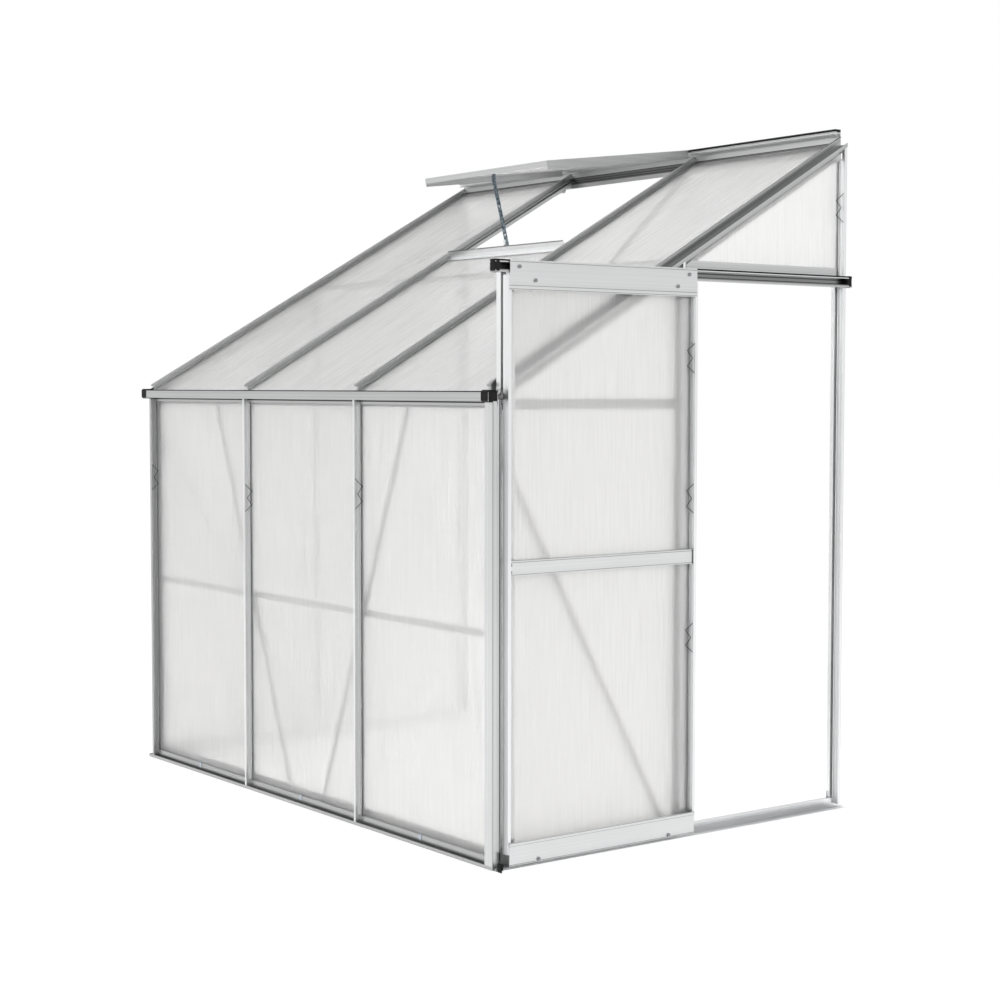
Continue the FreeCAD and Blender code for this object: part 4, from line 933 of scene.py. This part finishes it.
@dataclass
class EndCaps:
    """Black moulded caps on the ends of the gutter, the door track and the door sill."""

    node: str = "end_caps"
    gutter_sleeve: float = 0.036
    track_sleeve: float = 0.018
    sill_sleeve: float = 0.008
    track_level: float = 1.0
    wall: float = 0.0008
    corner: float = 0.005
    corner_share: float = 0.45
    steps: int = 2

    def cap(self, low: np.ndarray, high: np.ndarray, radius: float) -> Shape:
        """Rounded block: a small ball cut in eight, each part pushed out to its own corner.

        Args:
            low: the block's lowest corner.
            high: its highest corner.
            radius: radius of the ball.

        Returns:
            Points and quads.
        """
        quarter = np.linspace(0.0, np.pi / 2, self.steps)
        rise = np.concatenate([quarter - np.pi / 2, quarter])[:, None]
        lift = np.repeat([-1.0, 1.0], self.steps)[:, None]
        turn = np.concatenate([quarter + k * np.pi / 2 for k in range(4)])[None, :]
        push_x = np.repeat([1.0, -1.0, -1.0, 1.0], self.steps)[None, :]
        push_y = np.repeat([1.0, 1.0, -1.0, -1.0], self.steps)[None, :]
        inner = (high - low) / 2 - radius
        x = inner[0] * push_x + radius * np.cos(rise) * np.cos(turn)
        y = inner[1] * push_y + radius * np.cos(rise) * np.sin(turn)
        z = inner[2] * lift + radius * np.sin(rise) + 0 * turn
        points = np.stack([x, y, z], axis=-1).reshape(-1, 3) + (low + high) / 2
        columns = 4 * self.steps
        rows = 2 * self.steps
        ring = np.arange(4) * self.steps
        ends = np.stack([ring, ring + (rows - 1) * columns])
        return points, np.concatenate([grid_faces(rows, columns), ends])

    def sleeve(self, axis: int, height: float) -> float:
        """How far a cap reaches along its bar.

        Args:
            axis: axis that the bar runs along; only the gutter runs along X.
            height: height of the cap, which tells the track from the sill.

        Returns:
            The cap's length in metres.
        """
        if axis == 0:
            return self.gutter_sleeve
        return self.track_sleeve if height > self.track_level else self.sill_sleeve

    def over(self, corners: np.ndarray) -> Shape:
        """Cap over one closed end: a little wider than the end, and drawn inward along the bar.

        Args:
            corners: corner points of the flat lid in the CAD node.

        Returns:
            Points and quads.
        """
        floor, ceiling = np.array(CAD_BOX[0]), np.array(CAD_BOX[1])
        low, high = corners.min(axis=0), corners.max(axis=0)
        axis = int(np.argmin(high - low))
        length = self.sleeve(axis, low[2])
        others = [other for other in range(3) if other != axis]
        low[others] = np.maximum(low[others] - self.wall, floor[others])
        high[others] = np.minimum(high[others] + self.wall, ceiling[others])
        if low[axis] + high[axis] > floor[axis] + ceiling[axis]:
            low[axis] = high[axis] - length
        else:
            high[axis] = low[axis] + length
        return self.cap(low, high, min(self.corner, length * self.corner_share))

    def dress(self) -> None:
        """Build a cap over the end of each bar that the CAD node closes."""
        caps = [self.over(corners) for corners in loose_solids(self.node)]
        piece = make_piece("moulded_caps", caps, MouldedPlastic("black_cap").material(), smooth=False)
        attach(piece, "frame")
        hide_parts(self.node)


@dataclass
class DoorLeaf:
    """Sliding door: its bars and rollers."""

    stiles: Tuple[str, ...] = ("door_stile_front", "door_stile_rear")
    rollers: Tuple[str, ...] = ("door_roller_front", "door_roller_rear")
    # rail and stile tones are painted light and shade, set apart by how each is lit
    rail_tone: float = 0.68
    rail_swing: float = 0.04
    stile_tone: float = 0.80
    groove_shade: float = 0.0014
    groove_shade_keep: float = 0.35
    nylon: Colour = (0.62, 0.62, 0.60)
    nylon_roughness: float = 0.35
    # heights of painted shade lines in the grooves of each rail
    top_groove_shades: Tuple[float, ...] = (-0.0042, -0.0640, -0.0725)
    mid_groove_shades: Tuple[float, ...] = (-0.0035, -0.0350)
    bottom_groove_shades: Tuple[float, ...] = (-0.0008, -0.0080, -0.0560)

    def rail(self, node: str, groove_shades: Sequence[float]) -> None:
        """Dress one rail with a fine painted shade line of a groove at each height.

        Args:
            node: the rail.
            groove_shades: upper edges of the painted groove shade lines, counted from the rail's top.
        """
        # painted shade line in each groove
        spans = [Span(height - self.groove_shade, height, self.groove_shade_keep) for height in groove_shades]
        bands = level_bands(node, spans, CRISP)
        finish = MillAluminium(node + "_mill", Run.ALONG_Y, self.rail_tone, self.rail_swing, bands=bands)
        dress((node,), finish.material())

    def dress(self) -> None:
        """Dress the bars, then the rollers."""
        self.rail("door_top_rail", self.top_groove_shades)
        self.rail("door_mid_rail", self.mid_groove_shades)
        self.rail("door_bottom_rail", self.bottom_groove_shades)
        dress(self.stiles, MillAluminium("door_stile_mill", Run.UPRIGHT, self.stile_tone).material())
        dress(self.rollers, MouldedPlastic("roller_nylon", self.nylon, self.nylon_roughness).material())


@dataclass
class RoofVent:
    """Vent lid, its stay and bracket."""

    level: Tuple[str, ...] = ("vent_hinge_bar", "vent_front_bar")
    sides: Tuple[str, ...] = ("vent_side_bars",)
    plated: Tuple[str, ...] = ("vent_stay", "stay_bracket")
    tone: float = 0.54
    pale: Colour = (0.30, 0.36, 0.40)
    deep: Colour = (0.06, 0.08, 0.10)

    def dress(self) -> None:
        """Dress the lid's bars and the plated stay."""
        dress(self.level, MillAluminium("lid_mill_level", Run.ALONG_X, self.tone).material())
        dress(self.sides, MillAluminium("lid_mill_side", Run.ALONG_Y, self.tone).material())
        dress(self.plated, PlatedSteel("blue_zinc", self.pale, self.deep).material())


@dataclass
class Fittings:
    """Bolts, wire clips, plates and the black plastic shoes and corner pieces."""

    bolts: Tuple[str, ...] = ("frame_bolts", "door_bolts")
    wires: Tuple[str, ...] = ("wire_clips", "door_clips")
    plates: Tuple[str, ...] = ("eave_brackets", "pane_clips")
    black: Tuple[str, ...] = ("guide_shoes", "corner_plates")

    def dress(self) -> None:
        """Dress each kind with its own finish."""
        bolt = PlatedSteel("bolt_metal", pale=(0.34, 0.35, 0.36), deep=(0.16, 0.165, 0.17), grain=300.0)
        wire = PlatedSteel("spring_wire", pale=(0.05, 0.06, 0.06), deep=(0.015, 0.02, 0.02), grain=500.0)
        plate = PlatedSteel("plate_zinc", pale=(0.60, 0.66, 0.72), deep=(0.42, 0.47, 0.53))
        dress(self.bolts, bolt.material())
        dress(self.wires, wire.material())
        dress(self.plates, plate.material())
        dress(self.black, MouldedPlastic("black_shoe").material())


@dataclass(frozen=True)
class SoftBox:
    """Square lamp that faces the middle of the greenhouse."""

    name: str
    place: Triple
    watts: float
    size: float = 4.0
    target: Triple = (0.0, -0.6, 0.9)

    def hang(self) -> None:
        """Hang the lamp in its place."""
        data = bpy.data.lights.new(self.name, "AREA")
        data.shape = "SQUARE"
        data.size = self.size
        data.energy = self.watts
        lamp = bpy.data.objects.new(self.name, data)
        lamp.location = self.place
        way = Vector(self.target) - Vector(self.place)
        lamp.rotation_euler = way.to_track_quat("-Z", "Y").to_euler()
        bpy.context.scene.collection.objects.link(lamp)


@dataclass
class Studio:
    """White studio: floor, world, lamps and the camera."""

    eye: Triple = (4.8882, -4.1857, 1.2319)
    yaw: float = math.radians(53.23)
    pitch: float = math.radians(-3.33)
    roll: float = 0.0009
    lens: float = 69.916
    sensor: float = 36.0
    floor_reach: float = 30.0
    floor_level: float = -0.001
    floor_paint: Tuple[float, float, float, float] = (0.80, 0.80, 0.80, 1.0)
    floor_glow: float = 0.46
    fill: float = 0.70
    level_glow: float = 1.0
    ceiling_glow: float = 0.42
    ceiling_rise: float = 0.7
    lamps: Tuple[SoftBox, ...] = (
        SoftBox("key", (5.5, -2.0, 3.6), 120.0),
        SoftBox("front", (-3.0, -5.5, 4.2), 64.0),
    )

    def floor(self) -> None:
        """Lay a pale floor just under the sills; its glow lifts the lit part to white, not the shadow."""
        mesh = bpy.data.meshes.new("studio_floor")
        corners = np.array([[-1, -1], [1, -1], [1, 1], [-1, 1]]) * self.floor_reach
        points = np.column_stack([corners, np.full(4, self.floor_level)])
        mesh.from_pydata(points.tolist(), [], [(0, 1, 2, 3)])
        floor = bpy.data.objects.new("studio_floor", mesh)
        bpy.context.scene.collection.objects.link(floor)
        graph = Graph("studio_floor")
        diffuse = graph.add("BsdfDiffuse", Color=self.floor_paint)
        seen = graph.rays("Is Camera Ray", "Is Transmission Ray", "Is Glossy Ray")
        glow = graph.add("Emission", Color=WHITE, Strength=graph.maths("MULTIPLY", seen, self.floor_glow))
        both = graph.add("AddShader")
        graph.feed(both, 0, diffuse.outputs[0])
        graph.feed(both, 1, glow.outputs[0])
        mesh.materials.append(graph.close(both.outputs[0]))

    def world(self) -> None:
        """White where it is seen or seen through, darker overhead where it is mirrored, and an even fill."""
        world = bpy.data.worlds.new("studio_world")
        bpy.context.scene.world = world
        world.use_nodes = True
        graph = Graph("studio_world", world.node_tree)
        way = graph.add("SeparateXYZ", Vector=graph.add("TexCoord").outputs["Generated"])
        ceiling = graph.spread(way.outputs["Z"], self.level_glow, self.ceiling_glow, 0.0, self.ceiling_rise)
        level = graph.blend_value(graph.rays("Is Glossy Ray"), self.fill, ceiling)
        level = graph.maths("MAXIMUM", level, graph.rays("Is Camera Ray", "Is Transmission Ray"))
        graph.close(graph.add("Background", Color=WHITE, Strength=level).outputs[0])

    def camera(self) -> None:
        """Stand the camera where the picture was taken."""
        data = bpy.data.cameras.new("camera")
        data.lens = self.lens
        data.sensor_width = self.sensor
        camera = bpy.data.objects.new("camera", data)
        level = math.cos(self.pitch)
        way = Vector((-math.sin(self.yaw) * level, math.cos(self.yaw) * level, math.sin(self.pitch)))
        turn = way.to_track_quat("-Z", "Y").to_matrix().to_4x4()
        camera.matrix_world = Matrix.Translation(self.eye) @ turn @ Matrix.Rotation(self.roll, 4, "Z")
        bpy.context.scene.collection.objects.link(camera)
        bpy.context.scene.camera = camera

    def build(self) -> None:
        """Set up floor, world, lamps, camera and the view transform."""
        self.floor()
        self.world()
        for lamp in self.lamps:
            lamp.hang()
        self.camera()
        bpy.context.scene.view_settings.view_transform = "Standard"


def main() -> None:
    """Build and dress the greenhouse, then set the studio."""
    logging.basicConfig(level=logging.INFO, format="%(name)s: %(message)s")
    for part in (BarFrame(), Glazing(), DoorLeaf(), RoofVent(), Fittings(), EndCaps()):
        part.dress()
    Studio().build()


if __name__ == "__main__":
    main()
